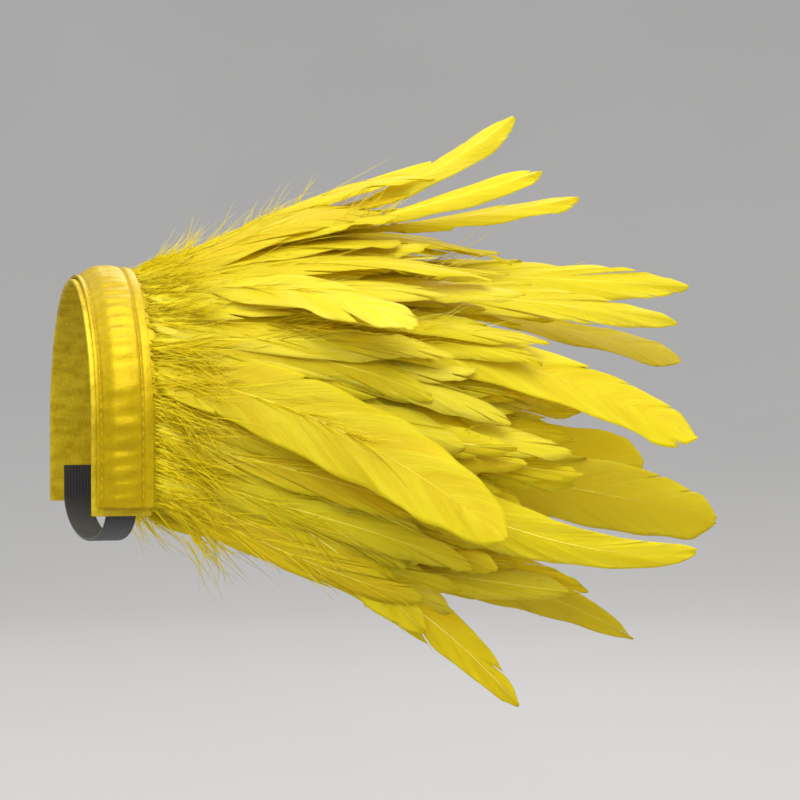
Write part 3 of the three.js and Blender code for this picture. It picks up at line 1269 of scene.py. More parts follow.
@dataclass
class VaneMaker:
    """Makes feathers: vanes parted into locks of barbs, and their quills."""

    form: VaneForm
    rng: np.random.Generator
    quill: QuillForm = QuillForm()

    def sweep(self, barb: np.ndarray, feather: Feather) -> np.ndarray:
        """How far the barbs of a feather are swept towards its tip.

        Args:
            barb: share of the length where each barb leaves the shaft.
            feather: the feather.

        Returns:
            The sweep of each, as a share of the length.
        """
        form = self.form
        opened = form.lean_open + (1.0 - form.lean_open) * np.minimum(barb / form.lean_full, 1.0)
        full = form.lean * feather.silk * opened
        return full * (1.0 - np.exp((barb - 1.0) / full))

    def half(
        self, barb: np.ndarray, reach: np.ndarray, shaft: Shaft, feather: Feather
    ) -> tuple[np.ndarray, np.ndarray, np.ndarray, np.ndarray]:
        """Shapes the barbs on one side of a shaft.

        Args:
            barb: share of the length where each barb leaves the shaft.
            reach: how far each barb reaches from the shaft.
            shaft: the feather's shaft.
            feather: the feather.

        Returns:
            Shares along the shaft, distances aside and heights of each barb's points, and which faces
            stay.
        """
        form, rng, rows = self.form, self.rng, len(barb)
        column = np.array(form.columns)[None]
        index = np.arange(rows)
        starts = np.cumsum(rng.integers(*form.lock_rows, rows // form.lock_rows[0] + 2))
        lock = np.searchsorted(starts, index, side="right")
        lift = rng.normal(0.0, form.lock_lift, len(starts) + 1)[lock]
        phase = rng.uniform(0.0, 2.0 * math.pi, 4)
        trim = waves(barb, form.edge_waves, phase[:2], 1.0)
        swept = self.sweep(barb, feather)[:, None] * column**form.sweep_bow
        along = (barb[:, None] + swept) * shaft.length
        stay = np.ones((rows - 1, column.size - 1), bool)
        pitch = (barb[1] - barb[0]) * shaft.length
        bounds = starts[(starts > 2) & (starts < rows - 5)]
        deep = set(rng.choice(bounds, min(feather.splits, len(bounds)), replace=False).tolist())
        for bound in bounds:
            if bound in deep:
                opens = int(rng.integers(1, column.size - 2))
                gap, depth = rng.uniform(*form.split_gap), form.split_point
            elif rng.random() < form.notch_share:
                opens = column.size - 2
                gap, depth = rng.uniform(*form.notch_gap), form.notch_point
            else:
                continue
            stay[bound - 1, opens:] = False
            hinge = form.columns[opens]
            swing = np.clip((column - hinge) / (1.0 - hinge), 0.0, 1.0)
            away = np.where(index < bound, index - bound, index - bound + 1.0)
            parted = np.sign(away) * np.exp(-np.abs(away) / form.split_fade) * gap
            along = along + parted[:, None] * swing
            meet = np.where(np.abs(away) <= 1.0, -np.sign(away), 0.0) * form.split_meet * pitch
            along = along + meet[:, None] * (column > hinge - 1e-6)
            trim = trim * (1.0 - depth * np.exp(-np.abs(away) / form.point_rows))
        aside = (reach * trim)[:, None] * column**form.aside_bow
        ripple = waves(barb, form.ripple_waves, phase[2:], 0.0) * form.ripple
        height = lift[:, None] * column**2 + ripple[:, None] * column
        return along / shaft.length, aside, height - feather.camber * aside * column, stay

    def add_vane(self, sheaf: Sheaf, shaft: Shaft, feather: Feather, number: float) -> None:
        """Adds a feather's vane.

        Args:
            sheaf: what it goes to.
            shaft: the feather's shaft.
            feather: the feather.
            number: a number that sets it apart in the finish.
        """
        form, rng = self.form, self.rng
        rows = max(form.least_rows, round(shaft.length / form.row_pitch))
        barb = np.linspace(form.start, form.end, rows)
        ends = barb + self.sweep(barb, feather)
        outline = eased(ends, *feather.tip.value, TIP_EASE)
        outline = np.where(ends > form.tip_from, outline ** rng.uniform(*form.tip_bow), outline)
        outline = outline * np.sqrt(np.clip((1.001 - ends) / form.tip_round, 0.0, 1.0))
        widths = feather.width / 2.0 * rng.uniform(*form.side_width, 2)
        left = self.half(barb, outline * widths[0], shaft, feather)
        right = self.half(barb, outline * widths[1], shaft, feather)
        sides = zip(left[:3], right[:3])
        share, aside, height = (np.concatenate([a[:, :0:-1], b], axis=1) for a, b in sides)
        column = np.array(form.columns)
        signed = np.concatenate([-column[:0:-1], column])
        aside = aside * np.sign(signed)
        height = height + rng.normal(*form.tilt) * np.abs(aside)
        stay = np.concatenate([left[3][:, ::-1], right[3]], axis=1)
        wide = signed.size
        row, place = np.nonzero(stay)
        first = row * wide + place
        quads = np.stack([first, first + 1, first + 1 + wide, first + wide], -1)
        points = shaft.at(share, aside, height).reshape(-1, 3)
        normals = shaft.read(shaft.normal, share).reshape(-1, 3)
        half = np.tile(form.half_thickness * (1.0 - form.edge_thinning * np.abs(signed)), rows)
        shell, faces = closed_sheet(points, quads, normals, half)
        marks = np.stack([np.tile(signed, rows), np.repeat(barb * shaft.length, wide)], -1)
        # the second tone value is the olive cast, which is painted shade
        pale, olive_shade = feather.tone.value
        tone = np.array([pale + rng.normal(0.0, form.tone_vary), olive_shade, number])
        sheaf.add(shell, faces, np.empty((0, 3), int), np.tile(marks, (2, 1)), tone)

    def add_quill(self, sheaf: Sheaf, shaft: Shaft, feather: Feather, number: float) -> None:
        """Adds a feather's quill, a tube that thins towards the tip.

        Args:
            sheaf: what it goes to, with the quill's finish second in its list.
            shaft: the feather's shaft.
            feather: the feather.
            number: a number that sets it apart in the finish.
        """
        form, sides, rings = self.quill, self.quill.sides, self.quill.rings
        share = np.linspace(0.0, form.end, rings)
        angle = np.arange(sides) * 2.0 * math.pi / sides
        thick = form.root_radius * shaft.length * (1.0 - share) ** form.thinning
        radius = form.tip_radius + thick
        aside = radius[:, None] * np.cos(angle)
        height = -radius[:, None] * np.sin(angle)
        points = shaft.at(np.repeat(share[:, None], sides, 1), aside, height).reshape(-1, 3)
        quads, triangles = tube_faces(1, rings, sides, pointed=False)
        marks = np.stack([np.tile(angle, rings), np.repeat(share, sides)], -1)
        sheaf.add(points, quads, triangles, marks, np.array([feather.quill, 0.0, number]), finish=1)


@dataclass
class FeatherFinishes:
    """Materials of a row of feather trim."""

    vane: bpy.types.Material
    quill: bpy.types.Material
    down: bpy.types.Material
    tape: bpy.types.Material


@dataclass(frozen=True)
class StripVary:
    """How far the strips of a spread differ, as in the solids: shares and degrees, and their flick.

    tuck_full is how far from the crown a strip has its whole tuck, in millimetres.
    """

    length: float = 0.16
    rise: float = 2.0
    width: float = 0.12
    turn: float = 10.0
    flick: float = -4.0
    tuck_full: float = 28.0


@dataclass(frozen=True)
class FillVary:
    """How far the narrow feathers in one strip differ, in shares of it, millimetres and degrees.

    odds are the chances of the tones at the crown, and the shift after them is added to them towards the
    ends: painted shade that gives the band's low ends, where less light falls, more deep gold feathers.
    """

    reach: tuple[float, float] = (0.88, 1.04)
    root: float = 4.0
    tip: float = 3.0
    flick: float = 4.0
    width: tuple[float, float] = (0.72, 1.02)
    turn: float = 8.0
    splits: tuple[int, int] = (1, 6)
    loose: tuple[int, int] = (2, 9)
    silk: tuple[float, float] = (1.5, 2.6)
    tones: tuple[Tone, ...] = (Tone.LEMON, Tone.PALE, Tone.GOLD)
    odds: tuple[float, ...] = (0.62, 0.26, 0.12)
    # painted shade: less lemon and pale and more deep gold at the band's low ends
    shade_odds: tuple[float, ...] = (-0.2, -0.14, 0.34)


@dataclass
class TrimRow:
    """One row of feather trim: heading tape, feathers and their down, in millimetres."""

    name: str
    arch: Arch
    tape_low: float
    tape_high: float
    rise: float
    seed: int
    leads: list[Feather]
    spreads: list[Spread]
    tape_inner: float = -2.0
    tape_outer: float = 13.5
    tape_inset: float = 2.0
    root_across: float = 9.8
    fan: float = 24.0
    shaft_lead: float = 0.36
    shaft_bend: float = 0.5
    back_from: float = 20.0
    back_reach: float = 0.95
    back_droop: float = 0.8
    back_spread: float = 5.0
    back_root_vary: float = 2.0
    back_reach_vary: float = 0.06
    back_up_vary: float = 8.0
    strip_vary: StripVary = StripVary()
    fill_vary: FillVary = FillVary()
    lead_form: VaneForm = VaneForm(1.7, (0.0, 0.25, 0.5, 0.74, 0.9, 1.0))
    fill_form: VaneForm = VaneForm(
        2.1,
        (0.0, 0.36, 0.72, 1.0),
        lean=0.2,
        lock_rows=(3, 8),
        lock_lift=0.22,
        ripple=0.5,
        split_gap=(0.5, 2.2),
        split_fade=4.0,
        split_point=0.4,
    )
    down: Fibre = Fibre(0.27, 3)
    wisp: Fibre = Fibre(0.18, 2)
    barb: Fibre = Fibre(0.3, 4)
    down_scatter: Scatter = Scatter(
        start=0.01,
        span=0.42,
        crowd=1.2,
        aside=(0.03, 0.34),
        stand=(0.02, 0.05),
        bend=0.06,
        length=(0.5, 1.3),
    )
    down_length: tuple[float, float] = (10.0, 0.7)
    down_per_lead: int = 18
    down_per_fill: int = 6
    wisp_scatter: Scatter = Scatter(
        start=0.12,
        span=0.5,
        crowd=1.0,
        aside=(0.2, 0.55),
        stand=(0.0, 0.08),
        bend=0.08,
        length=(2.5, 8.5),
    )
    wisp_edge: tuple[float, float] = (0.55, 0.9)
    lance_wisp_span: float = 0.82
    wisps_per_lead: int = 30
    wisps_per_fill: int = 30
    tuft_scatter: Scatter = Scatter(
        start=0.0,
        span=0.5,
        crowd=1.5,
        aside=(0.0, 0.42),
        stand=(-0.1, 0.4),
        bend=0.17,
        length=(0.4, 0.95),
    )
    tuft_root: tuple[float, float] = (2.5, 0.6)
    fibre_pale: tuple[float, float] = (0.1, 0.7)
    fibre_vary: float = 0.2
    rng: np.random.Generator = field(init=False)
    fluff_rng: np.random.Generator = field(init=False)

    def __post_init__(self) -> None:
        """Seeds the row's spreads of values, one for its feathers and one for its loose fibres."""
        self.rng = np.random.default_rng(self.seed)
        self.fluff_rng = np.random.default_rng(self.seed + 100)

    def shaft(self, feather: Feather) -> Shaft:
        """Curve of a feather's shaft, the same as in the solids.

        Args:
            feather: the feather.

        Returns:
            The shaft.
        """
        place, height = np.array(feather.root), np.array((self.tape_low + self.tape_high) / 2.0)
        _, outward, along = self.arch.frame(place)
        root = self.arch.on(place, height, self.root_across)
        tip = np.array([feather.out, -feather.front, feather.up])
        length = np.linalg.norm(tip - root)
        fan = math.radians(self.fan) * feather.root / self.arch.half_length
        slope = math.tan(math.radians(self.rise))
        leaving = ACROSS + outward * slope + along * math.tan(fan)
        near_root = root + unit(leaving) * length * self.shaft_lead
        near_tip = near_root + (tip - near_root) * self.shaft_bend
        near_tip[2] -= feather.flick
        return Shaft(np.stack([root, near_root, near_tip, tip]), along, feather.turn)

    def strips(self, spread: Spread) -> list[Feather]:
        """Strips spread evenly along the row, each a little different.

        Args:
            spread: their size and slope.

        Returns:
            Each strip, as one wide feather.
        """
        made, by = [], self.strip_vary
        reach = self.arch.half_length - 2.0 * self.tape_inset
        gaps = spread.count - 1 + 2.0 * spread.shift
        for i in range(spread.count):
            root = reach * (1.0 - 2.0 * (i + spread.shift) / gaps)
            point, outward, along = self.arch.frame(np.array(root))
            length = spread.length * (1.0 + by.length * vary(i, self.seed))
            rise = math.radians(spread.rise + by.rise * vary(i, self.seed + 1))
            tip = point + outward * (self.tape_high + length * math.sin(rise))
            tip = tip + along * length * spread.spread * root / reach
            tip[0] = self.root_across + length * math.cos(rise)
            tip[2] -= length * spread.sag
            tip = tip - outward * length * spread.tuck * min(1.0, (root / by.tuck_full) ** 2)
            width = spread.width * (1.0 + by.width * vary(i, self.seed + 2))
            turn = by.turn * vary(i, self.seed + 3)
            made.append(Feather(
                root, tip[0], -tip[1], tip[2], by.flick, width, turn, tip=Tip.LANCE
            ))
        return made

    def fill(self, strip: Feather, count: int) -> list[Feather]:
        """Narrow feathers that together take the place of one strip.

        Args:
            strip: the strip.
            count: number of feathers.

        Returns:
            The feathers.
        """
        made, rng, by = [], self.rng, self.fill_vary
        limit = self.arch.half_length - self.tape_inset
        low = min(1.0, abs(strip.root) / limit)
        # painted shade: towards the band's low ends the odds lean to deep gold feathers, standing in for
        # the shade there
        odds = [chance + shift * low for chance, shift in zip(by.odds, by.shade_odds)]
        for _ in range(count):
            near = rng.uniform(*by.reach)
            root = strip.root + rng.uniform(-by.root, by.root)
            made.append(replace(
                strip,
                root=float(np.clip(root, -limit, limit)),
                out=strip.out * near,
                front=strip.front + rng.normal(0.0, by.tip),
                up=strip.up + rng.normal(0.0, by.tip),
                flick=strip.flick + rng.normal(0.0, by.flick),
                width=strip.width * rng.uniform(*by.width),
                turn=strip.turn + rng.normal(0.0, by.turn),
                tone=by.tones[int(rng.choice(len(by.tones), p=odds))],
                splits=int(rng.integers(*by.splits)),
                loose=Loose(int(rng.integers(*by.loose))),
                silk=rng.uniform(*by.silk),
            ))
        return made

    def back_leads(self) -> list[Feather]:
        """Long feathers behind the shoulder, like the front ones but each a little different.

        Returns:
            The feathers.
        """
        made = []
        for i, lead in enumerate(lead for lead in self.leads if lead.root > self.back_from):
            made.append(replace(
                lead,
                root=-lead.root + self.back_root_vary * vary(i, self.seed + 4),
                out=lead.out * (self.back_reach + self.back_reach_vary * vary(i, self.seed + 5)),
                front=-lead.front - self.back_spread,
                up=lead.up * self.back_droop + self.back_up_vary * vary(i, self.seed + 6),
                turn=-lead.turn,
            ))
        return made

    def strand_tones(self, count: int, number: float) -> np.ndarray:
        """Paleness, cast and number of fibres that belong to one feather."""
        pale = self.fluff_rng.uniform(*self.fibre_pale, count)
        apart = number + self.fluff_rng.random(count) * self.fibre_vary
        return np.stack([pale, np.zeros(count), apart], -1)

    def sides(self, count: int, share: float = 0.5) -> np.ndarray:
        """Side of the shaft for each fibre: -1 for the given share of them and 1 for the rest."""
        return np.where(self.fluff_rng.random(count) < share, -1.0, 1.0)

    def add_root_down(
        self, sheaf: Sheaf, shaft: Shaft, feather: Feather, number: float, count: int
    ) -> None:
        """Adds the loose down on the lower part of a shaft.

        Args:
            sheaf: what it goes to.
            shaft: the feather's shaft.
            feather: the feather.
            number: a number that sets it apart in the finish.
            count: number of fibres.
        """
        rng, by = self.fluff_rng, self.down_scatter
        share = by.places(rng, count)
        aside = self.sides(count) * rng.uniform(*by.aside, count)
        head = shaft.leaning(share, aside, rng.normal(*by.stand, count))
        bend = rng.normal(0.0, by.bend, (count, 3))
        least, per_width = self.down_length
        length = (least + per_width * feather.width) * rng.uniform(*by.length, count)
        roots = shaft.at(share, np.zeros(count), np.zeros(count))
        normal, tones = shaft.read(shaft.normal, share), self.strand_tones(count, number)
        add_strands(sheaf, self.down, roots, head, bend, length, normal, tones)

    def add_wisps(
        self, sheaf: Sheaf, shaft: Shaft, feather: Feather, number: float, count: int
    ) -> None:
        """Adds the loose barb ends along a vane's edges.

        Args:
            sheaf: what they go to.
            shaft: the feather's shaft.
            feather: the feather.
            number: a number that sets it apart in the finish.
            count: number of fibres.
        """
        rng, by = self.fluff_rng, self.wisp_scatter
        if feather.tip is Tip.LANCE:
            by = replace(by, span=self.lance_wisp_span)
        share = by.places(rng, count)
        side = self.sides(count)
        edge = feather.width / 2.0 * eased(share, *feather.tip.value, TIP_EASE)
        edge = edge * rng.uniform(*self.wisp_edge, count)
        aside = side * rng.uniform(*by.aside, count)
        head = shaft.leaning(share, aside, rng.normal(*by.stand, count))
        bend = rng.normal(0.0, by.bend, (count, 3))
        least, most = by.length
        length = least + (most - least) * rng.random(count) ** 2
        roots = shaft.at(share, side * edge, -feather.camber * edge)
        normal, tones = shaft.read(shaft.normal, share), self.strand_tones(count, number)
        add_strands(sheaf, self.wisp, roots, head, bend, length, normal, tones)

    def add_loose_barbs(self, sheaf: Sheaf, shaft: Shaft, feather: Feather, number: float) -> None:
        """Adds long barbs that have come away from a vane and curve over it.

        Args:
            sheaf: what they go to.
            shaft: the feather's shaft.
            feather: the feather.
            number: a number that sets it apart in the finish.
        """
        rng, by = self.fluff_rng, feather.loose
        count = by.count
        share = rng.uniform(*by.span, count)
        normal = shaft.read(shaft.normal, share)
        aside = self.sides(count, by.crown) * by.aside * rng.uniform(*by.aside_range, count)
        stand = by.stand * rng.uniform(*by.stand_range, count)
        head = shaft.leaning(share, aside, stand)
        droop = rng.uniform(*by.droop, count)
        bend = normal * droop[:, None] + rng.normal(0.0, by.bend, (count, 3))
        length = rng.uniform(*by.length, count)
        roots = shaft.at(share, np.zeros(count), np.full(count, by.over_shaft))
        tones = self.strand_tones(count, number) + np.array([by.pale, 0.0, 0.0])
        add_strands(sheaf, self.barb, roots, head, bend, length, normal, tones)

    def add_tuft(self, sheaf: Sheaf, shaft: Shaft, count: int) -> None:
        """Adds a tuft of down, a spray of fibres from one place.

        Args:
            sheaf: what it goes to.
            shaft: the tuft's middle line.
            count: number of fibres.
        """
        rng, by = self.fluff_rng, self.tuft_scatter
        number = float(rng.random())
        share = by.places(rng, count)
        angle = rng.uniform(0.0, 2.0 * math.pi, count)
        open_out = by.aside[1] * np.sqrt(rng.random(count))
        middle, flat = by.stand
        stand = np.sin(angle) * open_out * flat + middle
        head = shaft.leaning(share, np.cos(angle) * open_out, stand)
        bend = rng.normal(0.0, by.bend, (count, 3))
        length = shaft.length * (1.0 - share) * rng.uniform(*by.length, count)
        beside, over = (rng.normal(0.0, strays, count) for strays in self.tuft_root)
        roots = shaft.at(share, beside, over)
        normal, tones = shaft.read(shaft.normal, share), self.strand_tones(count, number)
        add_strands(sheaf, self.down, roots, head, bend, length, normal, tones)

    def build(self, finishes: FeatherFinishes) -> None:
        """Makes the row's tape, its long feathers, the shorter ones between them and the down.

        Args:
            finishes: the row's materials.
        """
        self.build_tape(finishes.tape)
        leads, fillers, fluff = Sheaf(), Sheaf(), Sheaf()
        maker = VaneMaker(self.lead_form, self.rng)
        down, wisps = self.down_per_lead, self.wisps_per_lead
        for feather in self.leads + self.back_leads():
            self.add_feather(maker, feather, leads, fluff, down, wisps)
        maker = VaneMaker(self.fill_form, self.rng)
        down, wisps = self.down_per_fill, self.wisps_per_fill
        for spread in self.spreads:
            for strip in self.strips(spread):
                for feather in self.fill(strip, spread.feathers):
                    self.add_feather(maker, feather, fillers, fluff, down, wisps)
                if spread.fibres:
                    self.add_tuft(fluff, self.shaft(strip), spread.fibres)
        pair = [finishes.vane, finishes.quill]
        longest = leads.to_object(f"long_feathers_{self.name}", pair)
        place_piece(longest, Slot.FEATHER, f"feather_row_{self.name}")
        place_piece(fillers.to_object(f"short_feathers_{self.name}", pair), Slot.FEATHER)
        loose = fluff.to_object(f"down_{self.name}", [finishes.down], smooth=False)
        place_piece(loose, Slot.FEATHER)

    def add_feather(
        self, maker: VaneMaker, feather: Feather, vanes: Sheaf, fluff: Sheaf, down: int, wisps: int
    ) -> None:
        """Adds one feather with its vane, quill and loose fibres.

        Args:
            maker: makes the vane and the quill.
            feather: the feather.
            vanes: what its vane and quill go to.
            fluff: what its fibres go to.
            down: number of fibres at its root.
            wisps: number of fibres along its edges.
        """
        number = float(self.rng.random())
        shaft = self.shaft(feather)
        maker.add_vane(vanes, shaft, feather, number)
        maker.add_quill(vanes, shaft, feather, number)
        self.add_root_down(fluff, shaft, feather, number, down)
        self.add_wisps(fluff, shaft, feather, number, wisps)
        self.add_loose_barbs(fluff, shaft, feather, number)

    def build_tape(self, finish: bpy.types.Material) -> None:
        """Makes the heading tape that the feathers are sewn to.

        Args:
            finish: the tape's material.
        """
        strip = Strip(
            f"heading_tape_{self.name}",
            half_length=self.arch.half_length - self.tape_inset,
            step=4.0,
            columns=4,
            thickness=self.tape_high - self.tape_low,
            edge=0.2,
        )
        shape = self.arch.cover(self.tape_inner, self.tape_outer, level(self.tape_high))
        piece = place_piece(strip.build(shape, finish), Slot.FEATHER)


# Band and elastic


@dataclass(frozen=True)
class Folds:
    """One set of the band's gathers: height as a share of the whole, and pitch in millimetres.

    drift says how far they follow the gathers' slow waver, and slant how far they turn across the band.
    """

    height: float
    pitch: float
    drift: float
    slant: float

    def swing(self, place: np.ndarray, share: np.ndarray, waver: np.ndarray) -> np.ndarray:
        """Rise and fall of the folds.

        Args:
            place: distances from the crown.
            share: shares across the gathered part.
            waver: how far the gathers waver at those places.

        Returns:
            The values, from -1 to 1.
        """
        turn = 2.0 * math.pi * place / self.pitch
        return np.sin(turn + self.drift * waver + self.slant * share)


@dataclass
class Band:
    """Shoulder band: gathered facing, flat backing and two lines of stitching, in millimetres.

    wavers gives the height, length and start of each slow wave that the gathers follow.
    """

    arch: Arch
    backing_thickness: float
    backing_tab: float
    half_width: float = 10.0
    facing_thickness: float = 1.0
    section_across: tuple[float, ...] = (-8.4, -6.2, -2.6, 2.0, 5.4, 6.6, 8.2, 10.0)
    section_height: tuple[float, ...] = (2.6, 2.9, 5.4, 5.8, 5.6, 5.3, 5.6, 5.2)
    gather_from: float = -6.3
    gather_to: float = 6.3
    gather_height: float = 0.75
    wavers: tuple[tuple[float, float, float], ...] = ((1.1, 23.0, 0.0), (0.5, 9.0, 1.0))
    wide_folds: Folds = Folds(height=0.5, pitch=9.4, drift=1.0, slant=0.6)
    slow_folds: Folds = Folds(height=0.25, pitch=15.1, drift=-0.7, slant=-0.8)
    fine_folds: Folds = Folds(height=0.14, pitch=4.3, drift=2.0, slant=1.1)
    fold_round: float = 1.4
    fold_middle: float = 0.15
    dome_ease: float = 1.1
    groove_depth: float = 0.6
    groove_half: float = 0.45
    stitch_lines: tuple[float, float] = (-6.8, 6.6)
    stitch_pitch: float = 2.9
    stitch_half: tuple[float, float, float] = (0.22, 1.0, 0.2)
    stitch_sides: int = 8
    stitch_rings: int = 6
    stitch_inset: float = 3.0
    stitch_lift: float = 0.05

    def facing_height(self, place: np.ndarray, across: np.ndarray) -> np.ndarray:
        """Height of the facing over the arch: a soft dome with gathers across it and stitched grooves.

        Args:
            place: distances from the crown.
            across: places across the band.

        Returns:
            The heights.
        """
        dome = eased(across, self.section_across, self.section_height, self.dome_ease)
        for line in self.stitch_lines:
            dome = dome - self.groove_depth * np.exp(-(((across - line) / self.groove_half) ** 2))
        share = np.clip((across - self.gather_from) / (self.gather_to - self.gather_from), 0.0, 1.0)
        room = np.sin(math.pi * share) ** 0.5
        waver = sum(high * np.sin(place / long + start) for high, long, start in self.wavers)
        wide = np.abs(self.wide_folds.swing(place, share, waver)) ** self.fold_round
        slow = self.slow_folds.swing(place, share, waver)
        fine = self.fine_folds.swing(place, share, waver)
        folds = self.wide_folds.height * wide + self.slow_folds.height * slow
        folds = folds + self.fine_folds.height * fine
        return dome + self.gather_height * room * (folds - self.fold_middle)

    def build_facing(self, finish: bpy.types.Material) -> None:
        """Makes the gathered outer strip.

        Args:
            finish: its material.
        """
        strip = Strip(
            "satin_facing",
            half_length=self.arch.half_length,
            step=0.9,
            columns=48,
            thickness=self.facing_thickness,
            edge=0.3,
        )
        low, high = self.section_across[0], self.section_across[-1]
        shape = self.arch.cover(low, high, self.facing_height)
        piece = place_piece(strip.build(shape, finish), Slot.SATIN, "band_facing")

    def build_backing(self, finish: bpy.types.Material) -> None:
        """Makes the strip that lies on the shoulder.

        Args:
            finish: its material.
        """
        strip = Strip(
            "satin_backing",
            half_length=self.arch.half_length + self.backing_tab,
            step=2.0,
            columns=10,
            thickness=self.backing_thickness,
            edge=0.45,
        )
        height = level(self.backing_thickness)
        shape = self.arch.cover(-self.half_width, self.half_width, height)
        piece = place_piece(strip.build(shape, finish), Slot.SATIN, "band_backing")

    def build_stitches(self, finish: bpy.types.Material) -> None:
        """Makes the two lines of stitches that hold the layers together.

        Args:
            finish: the thread's material.
        """
        bm = bmesh.new()
        sides, rings = self.stitch_sides, self.stitch_rings
        reach = self.arch.half_length - self.stitch_inset
        for line in self.stitch_lines:
            for place in np.arange(-reach, reach, self.stitch_pitch):
                height = self.facing_height(np.array(place), np.array(line)) + self.stitch_lift
                _, outward, along = self.arch.frame(np.array(place))
                centre = self.arch.on(np.array(place), height, np.array(line))
                axes = np.stack([ACROSS, along, outward], -1) * np.array(self.stitch_half)
                lie = Matrix((axes * MM).tolist()).to_4x4()
                matrix = Matrix.Translation(Vector(centre * MM)) @ lie
                bmesh.ops.create_uvsphere(
                    bm, u_segments=sides, v_segments=rings, radius=1.0, matrix=matrix
                )
        bmesh.ops.recalc_face_normals(bm, faces=bm.faces)
        place_piece(mesh_object(bm, "band_stitches", finish), Slot.SATIN)


@dataclass
class UnderarmElastic:
    """Strap from leg to leg under the arm, in millimetres."""

    arch: Arch
    width: float = 10.0
    thickness: float = 1.0
    gap: float = 0.3
    overlap: float = 10.0
    sag: float = 13.0
    end_points: int = 6
    turn_points: int = 73

    def build(self, finish: bpy.types.Material) -> None:
        """Makes the strap.

        Args:
            finish: its material.
        """
        ends, reach = self.end_points, self.arch.radius - self.gap
        leg_end = -self.arch.radius - self.arch.leg
        turn = np.linspace(0.0, math.pi, self.turn_points)
        across = np.concatenate([[-reach] * ends, -reach * np.cos(turn), [reach] * ends])
        rise = np.linspace(self.overlap, self.overlap / ends, ends)
        hang = leg_end - self.sag * np.sin(turn)
        low = np.concatenate([leg_end + rise, hang, leg_end + rise[::-1]])
        run = np.concatenate([[0.0], np.cumsum(np.hypot(np.diff(across), np.diff(low)))])
        strip = Strip(
            "woven_elastic",
            half_length=run[-1] / 2.0,
            step=1.0,
            columns=10,
            thickness=self.thickness,
            edge=0.25,
        )

        def shape(place: np.ndarray, share: np.ndarray) -> tuple[np.ndarray, np.ndarray]:
            """Bends the strap.

            Args:
                place: distances from its middle.
                share: shares across it.

            Returns:
                Points and marks of its outer face.
            """
            at = place + run[-1] / 2.0
            aside = self.width * (0.5 - share)
            points = np.stack([aside, np.interp(at, run, across), np.interp(at, run, low)], -1)
            return points, np.stack([aside, place], -1)

        place_piece(strip.build(shape, finish), Slot.ELASTIC, "underarm_elastic")


# Studio


@dataclass(frozen=True)
class Softbox:
    """One large soft lamp, in metres and watts."""

    name: str
    place: tuple[float, float, float]
    size: float
    power: float
    colour: tuple[float, float, float] = (1.0, 0.985, 0.96)

    def build(self, aim: tuple[float, float, float]) -> None:
        """Hangs the lamp.

        Args:
            aim: the place that it is turned to.
        """
        data = bpy.data.lights.new(self.name, "AREA")
        data.shape = "DISK"
        data.size = self.size
        data.energy = self.power
        data.color = self.colour
        lamp = bpy.data.objects.new(self.name, data)
        lamp.location = self.place
        way = Vector(aim) - lamp.location
        lamp.rotation_euler = way.to_track_quat("-Z", "Y").to_euler()
        bpy.context.scene.collection.objects.link(lamp)


